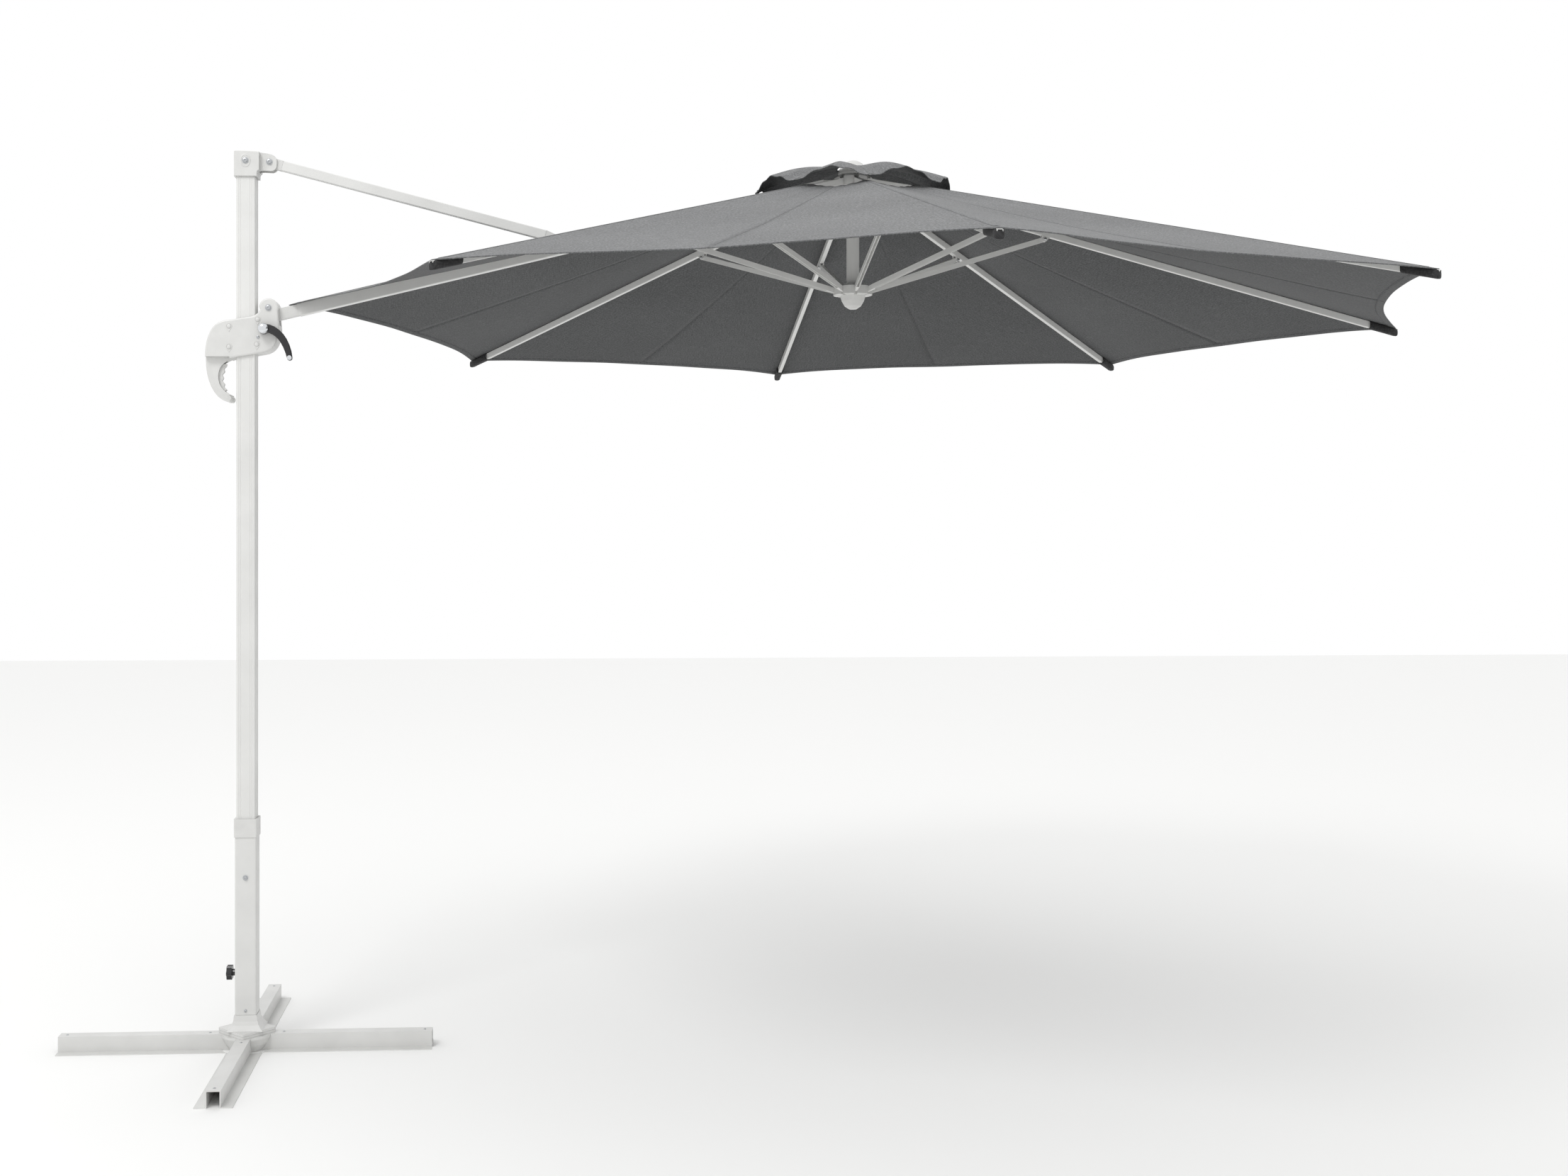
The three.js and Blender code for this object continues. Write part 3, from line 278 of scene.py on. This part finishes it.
FINISHES = {
    "base_paint": powder_coat("powder_coat_on_steel", "#d3d3d1", "#cdcdcb"),
    "frame_paint": powder_coat("powder_coat_on_aluminium", "#d8d8d6", "#d2d2d0"),
    "white_plastic": moulded_plastic("white_abs_moulded", "#d0d0ce", "#cacac8", 0.42, 0.35),
    "black_plastic": moulded_plastic("black_abs_gloss", "#1d1d1f", "#141416", 0.2, 0.12),
    "zinc_steel": plated_metal("bright_zinc_on_steel", "#c9cbcd", "#a4a7aa", 0.26, 0.5),
    "chrome": plated_metal("chrome_on_steel", "#e3e5e8", "#d4d7da", 0.07, 0.08),
    "rubber": brake_rubber("epdm_rubber"),
    "fabric": canopy_polyester("polyester_face", "#4b4c4d", "#666768", "#8a8b8c", 0.0005, 0.12),
    # painted shade: the back's greys are set darker than the face's to stand in for the shade under
    # the canopy
    "fabric_back": canopy_polyester("polyester_back_painted_shade", "#333435", "#464748", "#5c5d5e",
                                    0.0003, 0.04),
    "webbing": canopy_polyester("polyester_webbing_dark", "#1c1c1d", "#29292a", "#3a3a3b",
                                0.0008, 0.05),
}

for part, shown in frame["nodes"].items():
    shown.material_slots[0].material = FINISHES[SLOTS[part]]


# ---- Making pieces -------------------------------------------------------------
def piece(name, shape, body, slot, *finishes, sharp=35):
    """A finished piece from a bmesh, riding on a body. Its object stays at the origin."""
    data = bpy.data.meshes.new(name)
    shape.to_mesh(data)
    shape.free()
    for key in finishes or (slot,):
        data.materials.append(FINISHES[key])
    for face in data.polygons:
        face.use_smooth = True
    data.set_sharp_from_angle(angle=math.radians(sharp))
    made = bpy.data.objects.new(name, data)
    bpy.context.scene.collection.objects.link(made)
    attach(made, body)
    return made


def solidified(made, thickness, offset, under=0):
    """Gives a sheet its thickness; under is the material on the far side."""
    wall = made.modifiers.new("thickness", "SOLIDIFY")
    wall.thickness = thickness
    wall.offset = offset
    wall.material_offset = under
    wall.material_offset_rim = 0
    return made


def joined(into, other):
    """Adds bmesh other to bmesh into."""
    spare = bpy.data.meshes.new("spare")
    other.to_mesh(spare)
    other.free()
    into.from_mesh(spare)
    bpy.data.meshes.remove(spare)
    return into


def turned(profile, steps=24):
    """A closed shape turned about +Z from a profile of (radius, height), pole to pole."""
    shape = bmesh.new()
    dots = [shape.verts.new((radius, 0, height)) for radius, height in profile]
    for a, b in zip(dots, dots[1:]):
        shape.edges.new((a, b))
    bmesh.ops.spin(shape, geom=shape.verts[:] + shape.edges[:], axis=(0, 0, 1), cent=(0, 0, 0),
                   angle=2 * math.pi, steps=steps, use_merge=True)
    bmesh.ops.remove_doubles(shape, verts=shape.verts[:], dist=1e-6)
    bmesh.ops.recalc_face_normals(shape, faces=shape.faces[:])
    return shape


def aimed(shape, at, axis):
    """Moves a bmesh made on +Z to a place, with its +Z along axis."""
    turn = Vector((0, 0, 1)).rotation_difference(Vector(axis)).to_matrix().to_4x4()
    bmesh.ops.transform(shape, matrix=Matrix.Translation(at) @ turn, verts=shape.verts[:])
    return shape


def raised(shape, face):
    """Extrudes a face where it stands, and returns the new face."""
    grown = bmesh.ops.extrude_face_region(shape, geom=[face])["geom"]
    bmesh.ops.delete(shape, geom=[face], context="FACES_ONLY")
    return [part for part in grown if isinstance(part, bmesh.types.BMFace)][0]


def next_ring(shape, edges):
    """Extrudes a ring of edges where it stands, and returns its new vertices and edges."""
    grown = bmesh.ops.extrude_edge_only(shape, edges=edges)["geom"]
    dots = [part for part in grown if isinstance(part, bmesh.types.BMVert)]
    return dots, [part for part in grown if isinstance(part, bmesh.types.BMEdge)
                  and part.verts[0] in dots and part.verts[1] in dots]


def socket_screw(radius, height, washer, socket):
    """A button-head screw on its washer, with a hexagon socket. It stands on z = 0 and is
    open underneath, where its part hides it."""
    shape = bmesh.new()
    bmesh.ops.create_circle(shape, cap_ends=True, segments=24, radius=washer)
    top = shape.faces[:][0]
    for rise, scale in ((1.2 * MM, 1.0), (0.0, (washer - 0.6 * MM) / washer),
                        (0.2 * MM, radius / (washer - 0.6 * MM)), (height * 0.45, 1.0),
                        (height * 0.3, 0.86), (height * 0.15, 0.62)):
        top = raised(shape, top)
        bmesh.ops.translate(shape, verts=top.verts[:], vec=(0, 0, rise))
        bmesh.ops.scale(shape, verts=top.verts[:], vec=(scale, scale, 1))
    for sink in (0.0, -height * 0.55):
        top = raised(shape, top)
        for corner in top.verts:
            turn = math.atan2(corner.co.y, corner.co.x) % (math.pi / 3) - math.pi / 6
            flat = socket / math.cos(turn)
            corner.co.xy = corner.co.xy.normalized() * flat
            corner.co.z += sink
    bmesh.ops.recalc_face_normals(shape, faces=shape.faces[:])
    return shape


def through_bolt(name, body, x, z, half, node_name, radius=6.4 * MM):
    """A bolt right through, along Y, with a screw head on each side in place of the plain one."""
    shank = half + 0.5 * MM
    shape = aimed(turned([(0, -shank), (radius * 0.6, -shank), (radius * 0.6, shank),
                          (0, shank)]), (x, 0, z), (0, 1, 0))
    for side in (-1, 1):
        head = socket_screw(radius, 4.4 * MM, radius + 2.2 * MM, radius * 0.42)
        joined(shape, aimed(head, (x, side * half, z), (0, side, 0)))
    made = piece(name, shape, body, SLOTS[node_name])
    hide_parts(node_name)
    return made


# ---- The canopy ------------------------------------------------------------------
def turn_of(k):
    """Which way ridge k runs from the post: ridge 8 lies on the arm, towards the mast."""
    return math.pi + math.pi / 4 * k


def along_of(k):
    return Vector((math.cos(turn_of(k)), math.sin(turn_of(k)), 0))


def across_of(k):
    return Vector((-math.sin(turn_of(k)), math.cos(turn_of(k)), 0))


def ridge(k):
    """Height and slope of the cloth's underside over a ridge: (at the post, per metre out)."""
    slope, rise = (ARM_SLOPE, ARM_RISE) if k % 8 == 0 else (RIB_SLOPE, RIB_RISE)
    return HINGE_R * math.tan(slope) + rise, -math.tan(slope)


def cloth_height(k, x, y):
    """Underside of the stretched cloth, x out along ridge k and y across it."""
    y = math.copysign(math.hypot(y, RIDGE_BEND), y)
    out = math.hypot(x, y)
    angle = abs(math.atan2(y, x))
    own, beside = ridge(k), ridge((k + (1 if y > 0 else -1)) % 8)
    near = out * math.sin(2 * HALF_GORE - angle) / math.sin(2 * HALF_GORE)
    far = out * math.sin(angle) / math.sin(2 * HALF_GORE)
    flat = ((near * own[0] + far * beside[0]) / (near + far) + near * own[1] + far * beside[1])
    share = min(angle / HALF_GORE, 1)
    reach = max(0, min(1, (out - VENT_HOLE_R) / (CANOPY_R - VENT_HOLE_R)))
    hang = SAG * math.sin(math.pi / 2 * share) * (0.4 + 0.6 * math.sin(math.pi * reach))
    plan = along_of(k) * x + across_of(k) * y
    slack = noise.noise(plan * 2.7) * SLACK * math.sin(math.pi / 2 * share)
    pull = (1 - math.cos(6 * math.pi * share)) / 2  # tension lines run out from the vent
    pull *= PULL * math.exp(-(out - VENT_HOLE_R) / PULL_FADE)
    pleat = PLEAT * (1 - math.cos(4 * math.pi * share)) / 2
    pleat *= math.exp((out - CANOPY_R) / PLEAT_FADE)
    return flat - hang + slack + pull + pleat


def flap_height(x, y):
    """Underside of the vent flap, which is tied down at the ridges and lifts between them."""
    out = math.hypot(x, y)
    share = min(1, abs(math.atan2(y, x)) / HALF_GORE)
    reach = (out - FLAP_IN_R) / (FLAP_R - FLAP_IN_R)
    arm_level = ridge(8)[0] + ridge(8)[1] * FLAP_R + FLAP_CLEAR
    level = FLAP_TOP + (arm_level - FLAP_TOP) * reach
    puff = FLAP_PUFF * math.sin(math.pi * max(0, min(1, reach)))
    lift = FLAP_LIFT * math.sin(math.pi / 2 * share) ** 1.4 * max(0, reach) ** 1.5
    curl = FLAP_CURL * (1 - math.cos(4 * math.pi * share)) / 2 * max(0, reach) ** 4
    return level + puff * (0.4 + 0.6 * share) + lift - curl


def hem_point(y, outer, bow):
    """How far out a hem is at a distance y across the ridge: a curve bowed in between corners."""
    c, s = math.cos(HALF_GORE), math.sin(HALF_GORE)
    middle, chord = outer * c - bow, outer * s
    a, b, d = bow * s, -chord * c, middle * s - abs(y)
    m = (-b - math.sqrt(max(0, b * b - 4 * a * d))) / (2 * a)
    return (middle + bow * m * m) * c + chord * m * s


NARROW = (0, 3 * MM, SEAM_HALF, 13 * MM, SLIT_HALF)  # columns that run beside the ridge


def across_steps(count):
    """Column places from one side of a gore to the other, as (sign, fixed, share)."""
    one_side = [(1, fixed, 0) for fixed in NARROW]
    one_side += [(1, SLIT_HALF, i / count) for i in range(1, count + 1)]
    return [(-1, fixed, share) for _, fixed, share in reversed(one_side[1:])] + one_side


def map_plan(shape, foreshortened=1.0):
    """Lays the cloth's UV map, in metres, from above; a slope is foreshortened by its cosine."""
    cloth = shape.loops.layers.uv.new("cloth")
    for face in shape.faces:
        for loop in face.loops:
            loop[cloth].uv = (loop.vert.co.x / foreshortened, loop.vert.co.y)


def facing_up(shape):
    """Turns a sheet over if its faces look down."""
    if sum(face.normal.z for face in shape.faces) < 0:
        bmesh.ops.reverse_faces(shape, faces=shape.faces[:])
    return shape


def gore_sheet(inner, outer, bow, rows, columns, height):
    """A gore as a sheet in its own frame, from a grid that is drawn out to the hem's curve."""
    steps = across_steps(columns)
    shape = bmesh.new()
    bmesh.ops.create_grid(shape, x_segments=rows, y_segments=len(steps) - 1, size=0.5)
    c, s = math.cos(HALF_GORE), math.sin(HALF_GORE)
    edge_in, edge_out = inner * s, (outer * c - bow) * s
    for dot in shape.verts:
        down = dot.co.x + 0.5
        sign, fixed, share = steps[round((dot.co.y + 0.5) * (len(steps) - 1))]
        ends = []
        for edge in (edge_in, edge_out):
            ends.append(min(fixed, edge) + (edge - min(fixed, edge)) * share)
        x_in = inner * c
        x_out = hem_point(ends[1], outer, bow)
        x = x_in + (x_out - x_in) * down
        y = ends[0] + (ends[1] - ends[0]) * down
        dot.co = Vector((x, sign * y, 0))
    map_plan(shape, math.cos(RIB_SLOPE))
    for dot in shape.verts:
        dot.co.z = height(dot.co.x, dot.co.y)
    bmesh.ops.recalc_face_normals(shape, faces=shape.faces[:])
    return facing_up(shape)


def hung(made):
    """Gives a canopy piece a mesh of its own."""
    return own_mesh(made)


def placed(shape, k):
    """Turns a shape from a gore's own frame to its place round the post."""
    place = Matrix.Translation(CROWN) @ Matrix.Rotation(turn_of(k), 4, "Z")
    bmesh.ops.transform(shape, matrix=place, verts=shape.verts[:])
    return shape


def without_slit(shape):
    """Cuts the way for the strut out of gore 8."""
    gone = [face for face in shape.faces
            if SLIT_IN < face.calc_center_median().x < SLIT_OUT
            and abs(face.calc_center_median().y) < SLIT_HALF]
    bmesh.ops.delete(shape, geom=gone, context="FACES")
    return shape


def hem_band(outer, bow, width, lift, rows, height):
    """A strip of cloth along a hem, lying lift above the gore's underside."""
    limit = (outer * math.cos(HALF_GORE) - bow) * math.sin(HALF_GORE)
    shape = bmesh.new()
    bmesh.ops.create_grid(shape, x_segments=rows, y_segments=4, size=0.5)
    for dot in shape.verts:
        y = limit * (dot.co.x * 2)
        x = hem_point(y, outer, bow) - width * (dot.co.y + 0.5)
        dot.co = Vector((x, y, 0))
    map_plan(shape)
    for dot in shape.verts:
        dot.co.z = height(dot.co.x, dot.co.y) + lift
    return facing_up(shape)


def sleeve(rings, segments=28):
    """A pocket drawn through rings of (x, z, half width, half height): open at its first,
    where the rib goes in, and closed at its last."""
    shape = bmesh.new()
    cloth = shape.loops.layers.uv.new("cloth")
    first = bmesh.ops.create_circle(shape, cap_ends=False, segments=segments, radius=1)["verts"]
    flat = [(dot.co.x, dot.co.y) for dot in first]
    loop, edges = first, shape.edges[:]
    for index, (x, z, half_w, half_h) in enumerate(rings):
        if index:
            loop, edges = next_ring(shape, edges)
        for dot, (a, b) in zip(loop, flat):
            corner = 1 / max(abs(a), abs(b)) ** 0.55  # between an oval and a rectangle
            dot.co = Vector((x, a * corner * half_w, z + b * corner * half_h))
    bmesh.ops.contextual_create(shape, geom=edges)
    bmesh.ops.recalc_face_normals(shape, faces=shape.faces[:])
    for face in shape.faces:
        for corner in face.loops:
            corner[cloth].uv = (corner.vert.co.x, corner.vert.co.y + corner.vert.co.z)
    return shape


def body_of(k):
    """The body that gore k rides on."""
    return "arm" if k == 8 else f"rib_{k}"


def cloth_over(k):
    """The height of gore k's cloth, as a function of x and y in its own frame."""
    return lambda x, y: cloth_height(k, x, y)


def fabric_piece(name, shape, k, thickness, offset):
    """A piece of gore k's cloth, its back in darker greys as painted shade, that furls with the
    gore.
    """
    made = piece(name, placed(shape, k), body_of(k), "fabric", "fabric", "fabric_back", sharp=180)
    return hung(solidified(made, thickness, offset, under=1))


panels, flaps, trim, flap_trim = {}, {}, {}, {}
for k in GORES:
    level = cloth_over(k)
    sheet = gore_sheet(VENT_HOLE_R, CANOPY_R, HEM_BOW, 84, 22, level)
    if k == 8:
        without_slit(sheet)
    panels[k] = fabric_piece(f"gore_{k}", sheet, k, CLOTH, 1)
    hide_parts(f"canopy_gore_{k}")
    sheet = gore_sheet(FLAP_IN_R, FLAP_R, FLAP_BOW, 26, 12, flap_height)
    flaps[k] = fabric_piece(f"vent_flap_{k}", sheet, k, CLOTH, 1)
    # a hem is turned under twice, so its edge is three cloths thick
    strip = hem_band(CANOPY_R - 0.5 * MM, HEM_BOW, 20 * MM, 1.2 * MM, 60, level)
    trim[k] = [fabric_piece(f"hem_{k}", strip, k, 2.4 * MM, -1)]
    strip = hem_band(FLAP_R + 0.6 * MM, FLAP_BOW, 9 * MM, 1.1 * MM, 30, flap_height)
    flap_trim[k] = [fabric_piece(f"flap_lip_{k}", strip, k, 2.0 * MM, -1)]


# ---- Fabric trim: seams, corner pockets, the strut's slit ---------------------------
def seam_band(start, stop, height):
    """A felled seam along a ridge, a narrow band of cloth sewn down on both sides."""
    shape = bmesh.new()
    bmesh.ops.create_grid(shape, x_segments=70, y_segments=4, size=0.5)
    for dot in shape.verts:
        x = start + (stop - start) * (dot.co.x + 0.5)
        y = dot.co.y * 2 * SEAM_HALF
        crown = 0.5 * MM * (1 - (2 * dot.co.y) ** 2)
        dot.co = Vector((x, y, height(x, y) + SEAM_LIFT + crown))
    map_plan(shape)
    return shape


def corner_pocket():
    """The webbing pocket that a rib's tip stands in; the cloth's corner is sewn to it."""
    slope = math.tan(RIB_SLOPE)
    drop = HINGE_R * slope - 0.9 * MM

    def ring(back, wide, high):
        x = CANOPY_R - back * MM
        return x, drop - slope * x, 10 * MM * wide, 10.8 * MM * high

    return sleeve([ring(78, 1.1, 0.93), ring(76, 1.25, 1.0), ring(60, 1.06, 0.98),
                   ring(30, 1.0, 0.96), ring(6, 1.02, 0.97), ring(0.5, 0.9, 0.88),
                   ring(-1.6, 0.6, 0.6)])


def ridge_seam(k):
    """The seam over ridge k; gore 8's is in two lengths, either side of the slit."""
    first, last = VENT_HOLE_R, CANOPY_R - SEAM_END
    if k != 8:
        return seam_band(first, last, cloth_over(k))
    inner = seam_band(first, SLIT_IN - SEAM_GAP, cloth_over(k))
    return joined(inner, seam_band(SLIT_OUT + SEAM_GAP, last, cloth_over(k)))


def slit_edge():
    """A rolled strip bound round the slit, raised a little where the strut rubs. Its rings are
    (how far outside the slit, how high over the cloth) in millimetres."""
    shape = bmesh.new()
    dots = bmesh.ops.create_circle(shape, cap_ends=False, segments=72, radius=1)["verts"]
    edges = shape.edges[:]
    middle, reach = (SLIT_IN + SLIT_OUT) / 2, (SLIT_OUT - SLIT_IN) / 2
    rings = ((1.5, 5.0), (3.5, 8.5), (7.0, 6.0), (12.0, 1.4), (17.0, 0.9))
    for ring, (grow, lift) in enumerate(rings):
        if ring:
            dots, edges = next_ring(shape, edges)
        for dot in dots:
            turn = math.atan2(dot.co.y, dot.co.x) if not ring else math.atan2(
                dot.co.y / SLIT_HALF, (dot.co.x - middle) / reach)
            a, b = math.cos(turn), math.sin(turn)
            corner = 1 / max(abs(a), abs(b)) ** 0.8
            x = middle + a * corner * (reach + grow * MM)
            y = b * corner * (SLIT_HALF + grow * MM)
            rumple = 1 + 0.35 * noise.noise(Vector((a * 3, b * 3, 4)))
            dot.co = Vector((x, y, cloth_height(8, x, y) + CLOTH + (lift * rumple - 1) * MM))
    map_plan(shape)
    bmesh.ops.recalc_face_normals(shape, faces=shape.faces[:])
    return facing_up(shape)


for k in GORES:
    seam = piece(f"ridge_seam_{k}", placed(ridge_seam(k), k), body_of(k), "fabric", sharp=180)
    trim[k].append(hung(solidified(seam, 0.9 * MM, 0)))
    strip = seam_band(52 * MM, FLAP_R - 8 * MM, flap_height)
    seam = piece(f"flap_seam_{k}", placed(strip, k), body_of(k), "fabric", sharp=180)
    flap_trim[k].append(hung(solidified(seam, 0.9 * MM, 0)))
    if k != 8:
        trim[k].append(piece(f"corner_pocket_{k}", placed(corner_pocket(), k), body_of(k), "fabric",
                             "webbing", sharp=50))

# its back in the darker greys of the gores' backs: painted shade
binding = piece("slit_binding", placed(slit_edge(), 8), "arm", "fabric", "fabric", "fabric_back",
                sharp=180)
trim[8].append(solidified(binding, 1.2 * MM, 0, under=1))


# ---- Hinge pins: shouldered rivets with rolled heads ----------------------------------
def rivet(half, radius, head):
    """A riveted pin along +Z: shank, and a domed head at each end."""
    side = [(radius, half), (head, half + 0.2 * MM), (head, half + 0.9 * MM),
            (head * 0.8, half + 1.7 * MM), (head * 0.4, half + 2.2 * MM), (0, half + 2.3 * MM)]
    return turned([(r, -z) for r, z in reversed(side)] + side, 20)


crown_pins, hub_pins = bmesh.new(), bmesh.new()
hub_z = JOINTS["lower_hub_hinge"]["pos_m"][2]
post = Vector((CROWN.x, CROWN.y, 0))
for k in GORES:
    way, over = along_of(k), across_of(k)
    joined(crown_pins, aimed(rivet(8.5 * MM, 1.9 * MM, 3.6 * MM),
                             post + way * HINGE_R + Vector((0, 0, CROWN.z)), over))
    joined(hub_pins, aimed(rivet(8.2 * MM, 1.8 * MM, 3.4 * MM),
                           post + way * HINGE_R + Vector((0, 0, hub_z)), over))
    lug = Vector(JOINTS[f"stretcher_{k}_hinge"]["pos_m"])
    pin = aimed(rivet(8.6 * MM, 1.8 * MM, 3.6 * MM), lug, over)
    piece(f"lug_pin_{k}", pin, body_of(k), "zinc_steel")
piece("crown_pins", crown_pins, "crown", "zinc_steel")
piece("lower_hub_pins", hub_pins, "lower_hub", "zinc_steel")

# ---- Screws on the mast head, the slider, the pole and the base ------------------------
HEAD = Vector(JOINTS["parasol_lift"]["pos_m"])
ARM_PIN = Vector(JOINTS["slider_hinge"]["pos_m"])


def seat_of(name, head):
    """How far from the middle a CAD bolt's head seats, given the head's height."""
    low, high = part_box(name)
    return (high[1] - low[1]) / 2 - head


def rimmed(outline, rise, inner, sink, segments=40):
    """A raised rim round a shallow pan, on z = 0: outline(a, b) shapes a unit circle."""
    shape = bmesh.new()
    ring = bmesh.ops.create_circle(shape, cap_ends=True, segments=segments, radius=1)["verts"]
    for dot in ring:
        dot.co.xy = outline(dot.co.x, dot.co.y)
    centre = sum((dot.co for dot in ring), Vector()) / segments
    top = shape.faces[:][0]
    for lift, scale in ((rise * 0.6, 1.0), (rise * 0.4, 0.95), (0.0, inner), (-sink, 0.94)):
        top = raised(shape, top)
        for dot in top.verts:
            dot.co.xy = centre.xy + (dot.co.xy - centre.xy) * scale
            dot.co.z += lift
    bmesh.ops.holes_fill(shape, edges=shape.edges[:], sides=0)
    bmesh.ops.recalc_face_normals(shape, faces=shape.faces[:])
    return shape


def on_side(shape, x, z, side, face):
    """Stands a shape drawn with its local +Y up on the front or back face of a part."""
    place = Matrix(((1, 0, 0, x), (0, 0, side, side * face), (0, 1, 0, z), (0, 0, 0, 1)))
    bmesh.ops.transform(shape, matrix=place, verts=shape.verts[:])
    bmesh.ops.recalc_face_normals(shape, faces=shape.faces[:])
    return shape


def oval(a, b):
    return a * 13.5 * MM, b * 17 * MM


def teardrop(a, b):
    """Round at the top and drawn to a point below."""
    low = max(0, -b)
    return a * (1 - 0.55 * low ** 2) * 8.5 * MM, b * (1 + 0.75 * low ** 2) * 8.5 * MM


SCREW_HEAD = 4.3 * MM
through_bolt("head_screws", "mast", 0.0, HEAD.z, seat_of("head_bolt", SCREW_HEAD), "head_bolt")
through_bolt("strut_screws", "mast", HEAD.x, HEAD.z, seat_of("strut_bolt", SCREW_HEAD),
             "strut_bolt")
through_bolt("arm_screws", "slider", ARM_PIN.x, ARM_PIN.z, seat_of("arm_bolt", SCREW_HEAD),
             "arm_bolt")
through_bolt("saddle_screws", "arm", SADDLE.x, SADDLE.z, seat_of("saddle_bolt", SCREW_HEAD),
             "saddle_bolt")
pole_low, pole_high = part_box("pole_bolt")
through_bolt("pole_screws", "mast", 0.0, (pole_low[2] + pole_high[2]) / 2,
             seat_of("pole_bolt", 3.3 * MM), "pole_bolt", radius=5 * MM)

bosses = bmesh.new()
for side in (-1, 1):
    joined(bosses, on_side(rimmed(oval, 1.1 * MM, 0.88, 0.8 * MM), 0.0, HEAD.z, side, HEAD_FACE))
piece("head_bosses", bosses, "mast", "white_plastic")

# caps over the screws that hold the slider's shells together, from the arm's pin
SHELL_SCREWS = ((-102, -49), (-102, -103), (-28, -31), (-30, -96))
face_y = -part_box("slider_shell_front")[0][1]
pans, caps = bmesh.new(), bmesh.new()
for side in (-1, 1):
    for x, z in SHELL_SCREWS:
        at = (ARM_PIN.x + x * MM, ARM_PIN.z + z * MM)
        joined(pans, on_side(rimmed(teardrop, 0.9 * MM, 0.84, 0.7 * MM), *at, side, face_y))
        joined(caps, aimed(turned([(0, 0), (5.4 * MM, 0), (5.6 * MM, 1.2 * MM),
                                   (5 * MM, 2.2 * MM), (3 * MM, 3 * MM), (0, 3.3 * MM)], 28),
                           (at[0], side * face_y, at[1]), (0, side, 0)))
piece("shell_screw_pans", pans, "slider", "white_plastic")
piece("shell_screw_caps", caps, "slider", "white_plastic")
cord_screw = bmesh.new()
for side in (-1, 1):
    joined(cord_screw, aimed(socket_screw(3.4 * MM, 2.6 * MM, 4.4 * MM, 1.5 * MM),
                             (ARM_PIN.x - 27 * MM, side * face_y, ARM_PIN.z - 77 * MM),
                             (0, side, 0)))
piece("cord_anchor_screws", cord_screw, "slider", "zinc_steel")

# the crank's hub carries a chrome dome over its screw
crank_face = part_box("crank_handle")[0][1]
CRANK = Vector(JOINTS["crank_turn"]["pos_m"])
dome = turned([(0, -1 * MM), (13.2 * MM, -1 * MM), (13.8 * MM, 1.2 * MM), (13.2 * MM, 3.4 * MM),
               (10.8 * MM, 6 * MM), (6.6 * MM, 7.8 * MM), (0, 8.5 * MM)], 40)
piece("crank_dome", aimed(dome, (CRANK.x, crank_face, CRANK.z), (0, -1, 0)), "crank", "chrome")

leg_studs = bmesh.new()
leg_end, _, leg_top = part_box("leg_right")[1]
for quarter in range(4):
    way = Matrix.Rotation(math.pi / 2 * quarter, 3, "Z") @ Vector((1, 0, 0))
    for out in (leg_end - 20 * MM, 96 * MM):
        joined(leg_studs, aimed(turned([(0, -1 * MM), (3.6 * MM, -1 * MM), (3.6 * MM, 0.5 * MM),
                                        (2.4 * MM, 1.4 * MM), (0, 1.8 * MM)], 20),
                                way * out + Vector((0, 0, leg_top)), (0, 0, 1)))
piece("leg_studs", leg_studs, "base", "zinc_steel")

_, foot_front, foot_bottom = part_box("lower_pole")[0]
grub = socket_screw(3.2 * MM, 1.6 * MM, 3.8 * MM, 1.5 * MM)
piece("foot_screw", aimed(grub, (0, foot_front, foot_bottom + 11 * MM), (0, -1, 0)), "mast",
      "zinc_steel")

# the canopy's corner on the arm is held by a press stud
arm_corner = CANOPY_R - 26 * MM
stud = turned([(0, -0.5 * MM), (6.4 * MM, -0.5 * MM), (6.4 * MM, 0.8 * MM), (5 * MM, 1.8 * MM),
               (2 * MM, 2.2 * MM), (0, 2.3 * MM)], 28)
stud_at = CROWN + along_of(8) * arm_corner
stud_at.z += cloth_height(8, arm_corner, 0) + CLOTH
piece("corner_stud", aimed(stud, stud_at, (-math.sin(ARM_SLOPE), 0, math.cos(ARM_SLOPE))), "arm",
      "chrome")

# ---- Floor, sky and lights --------------------------------------------------------
ground = bmesh.new()
bmesh.ops.create_grid(ground, x_segments=1, y_segments=1, size=14)
floor_mesh = bpy.data.meshes.new("studio_floor")
ground.to_mesh(floor_mesh)
ground.free()
floor = bpy.data.objects.new("studio_floor", floor_mesh)
bpy.context.scene.collection.objects.link(floor)
paper, _, shader = finish("pale_studio_paper")
shader.inputs["Base Color"].default_value = linear("#f4f4f3")
shader.inputs["Roughness"].default_value = 0.9
floor_mesh.materials.append(paper)

sky = bpy.data.worlds.new("studio")
sky.use_nodes = True
sky.node_tree.nodes["Background"].inputs["Color"].default_value = linear("#ffffff")
sky.node_tree.nodes["Background"].inputs["Strength"].default_value = 1.0
bpy.context.scene.world = sky


def softbox(name, at, aim, size, power):
    light = bpy.data.lights.new(name, "AREA")
    light.shape = "DISK"
    light.size = size
    light.energy = power
    lamp = bpy.data.objects.new(name, light)
    lamp.location = at
    lamp.rotation_euler = (Vector(aim) - Vector(at)).to_track_quat("-Z", "Y").to_euler()
    bpy.context.scene.collection.objects.link(lamp)


softbox("key", (-2.0, -4.0, 6.5), (1.0, 0, 1.6), 2.5, 160)

bpy.context.scene.view_settings.view_transform = "Standard"
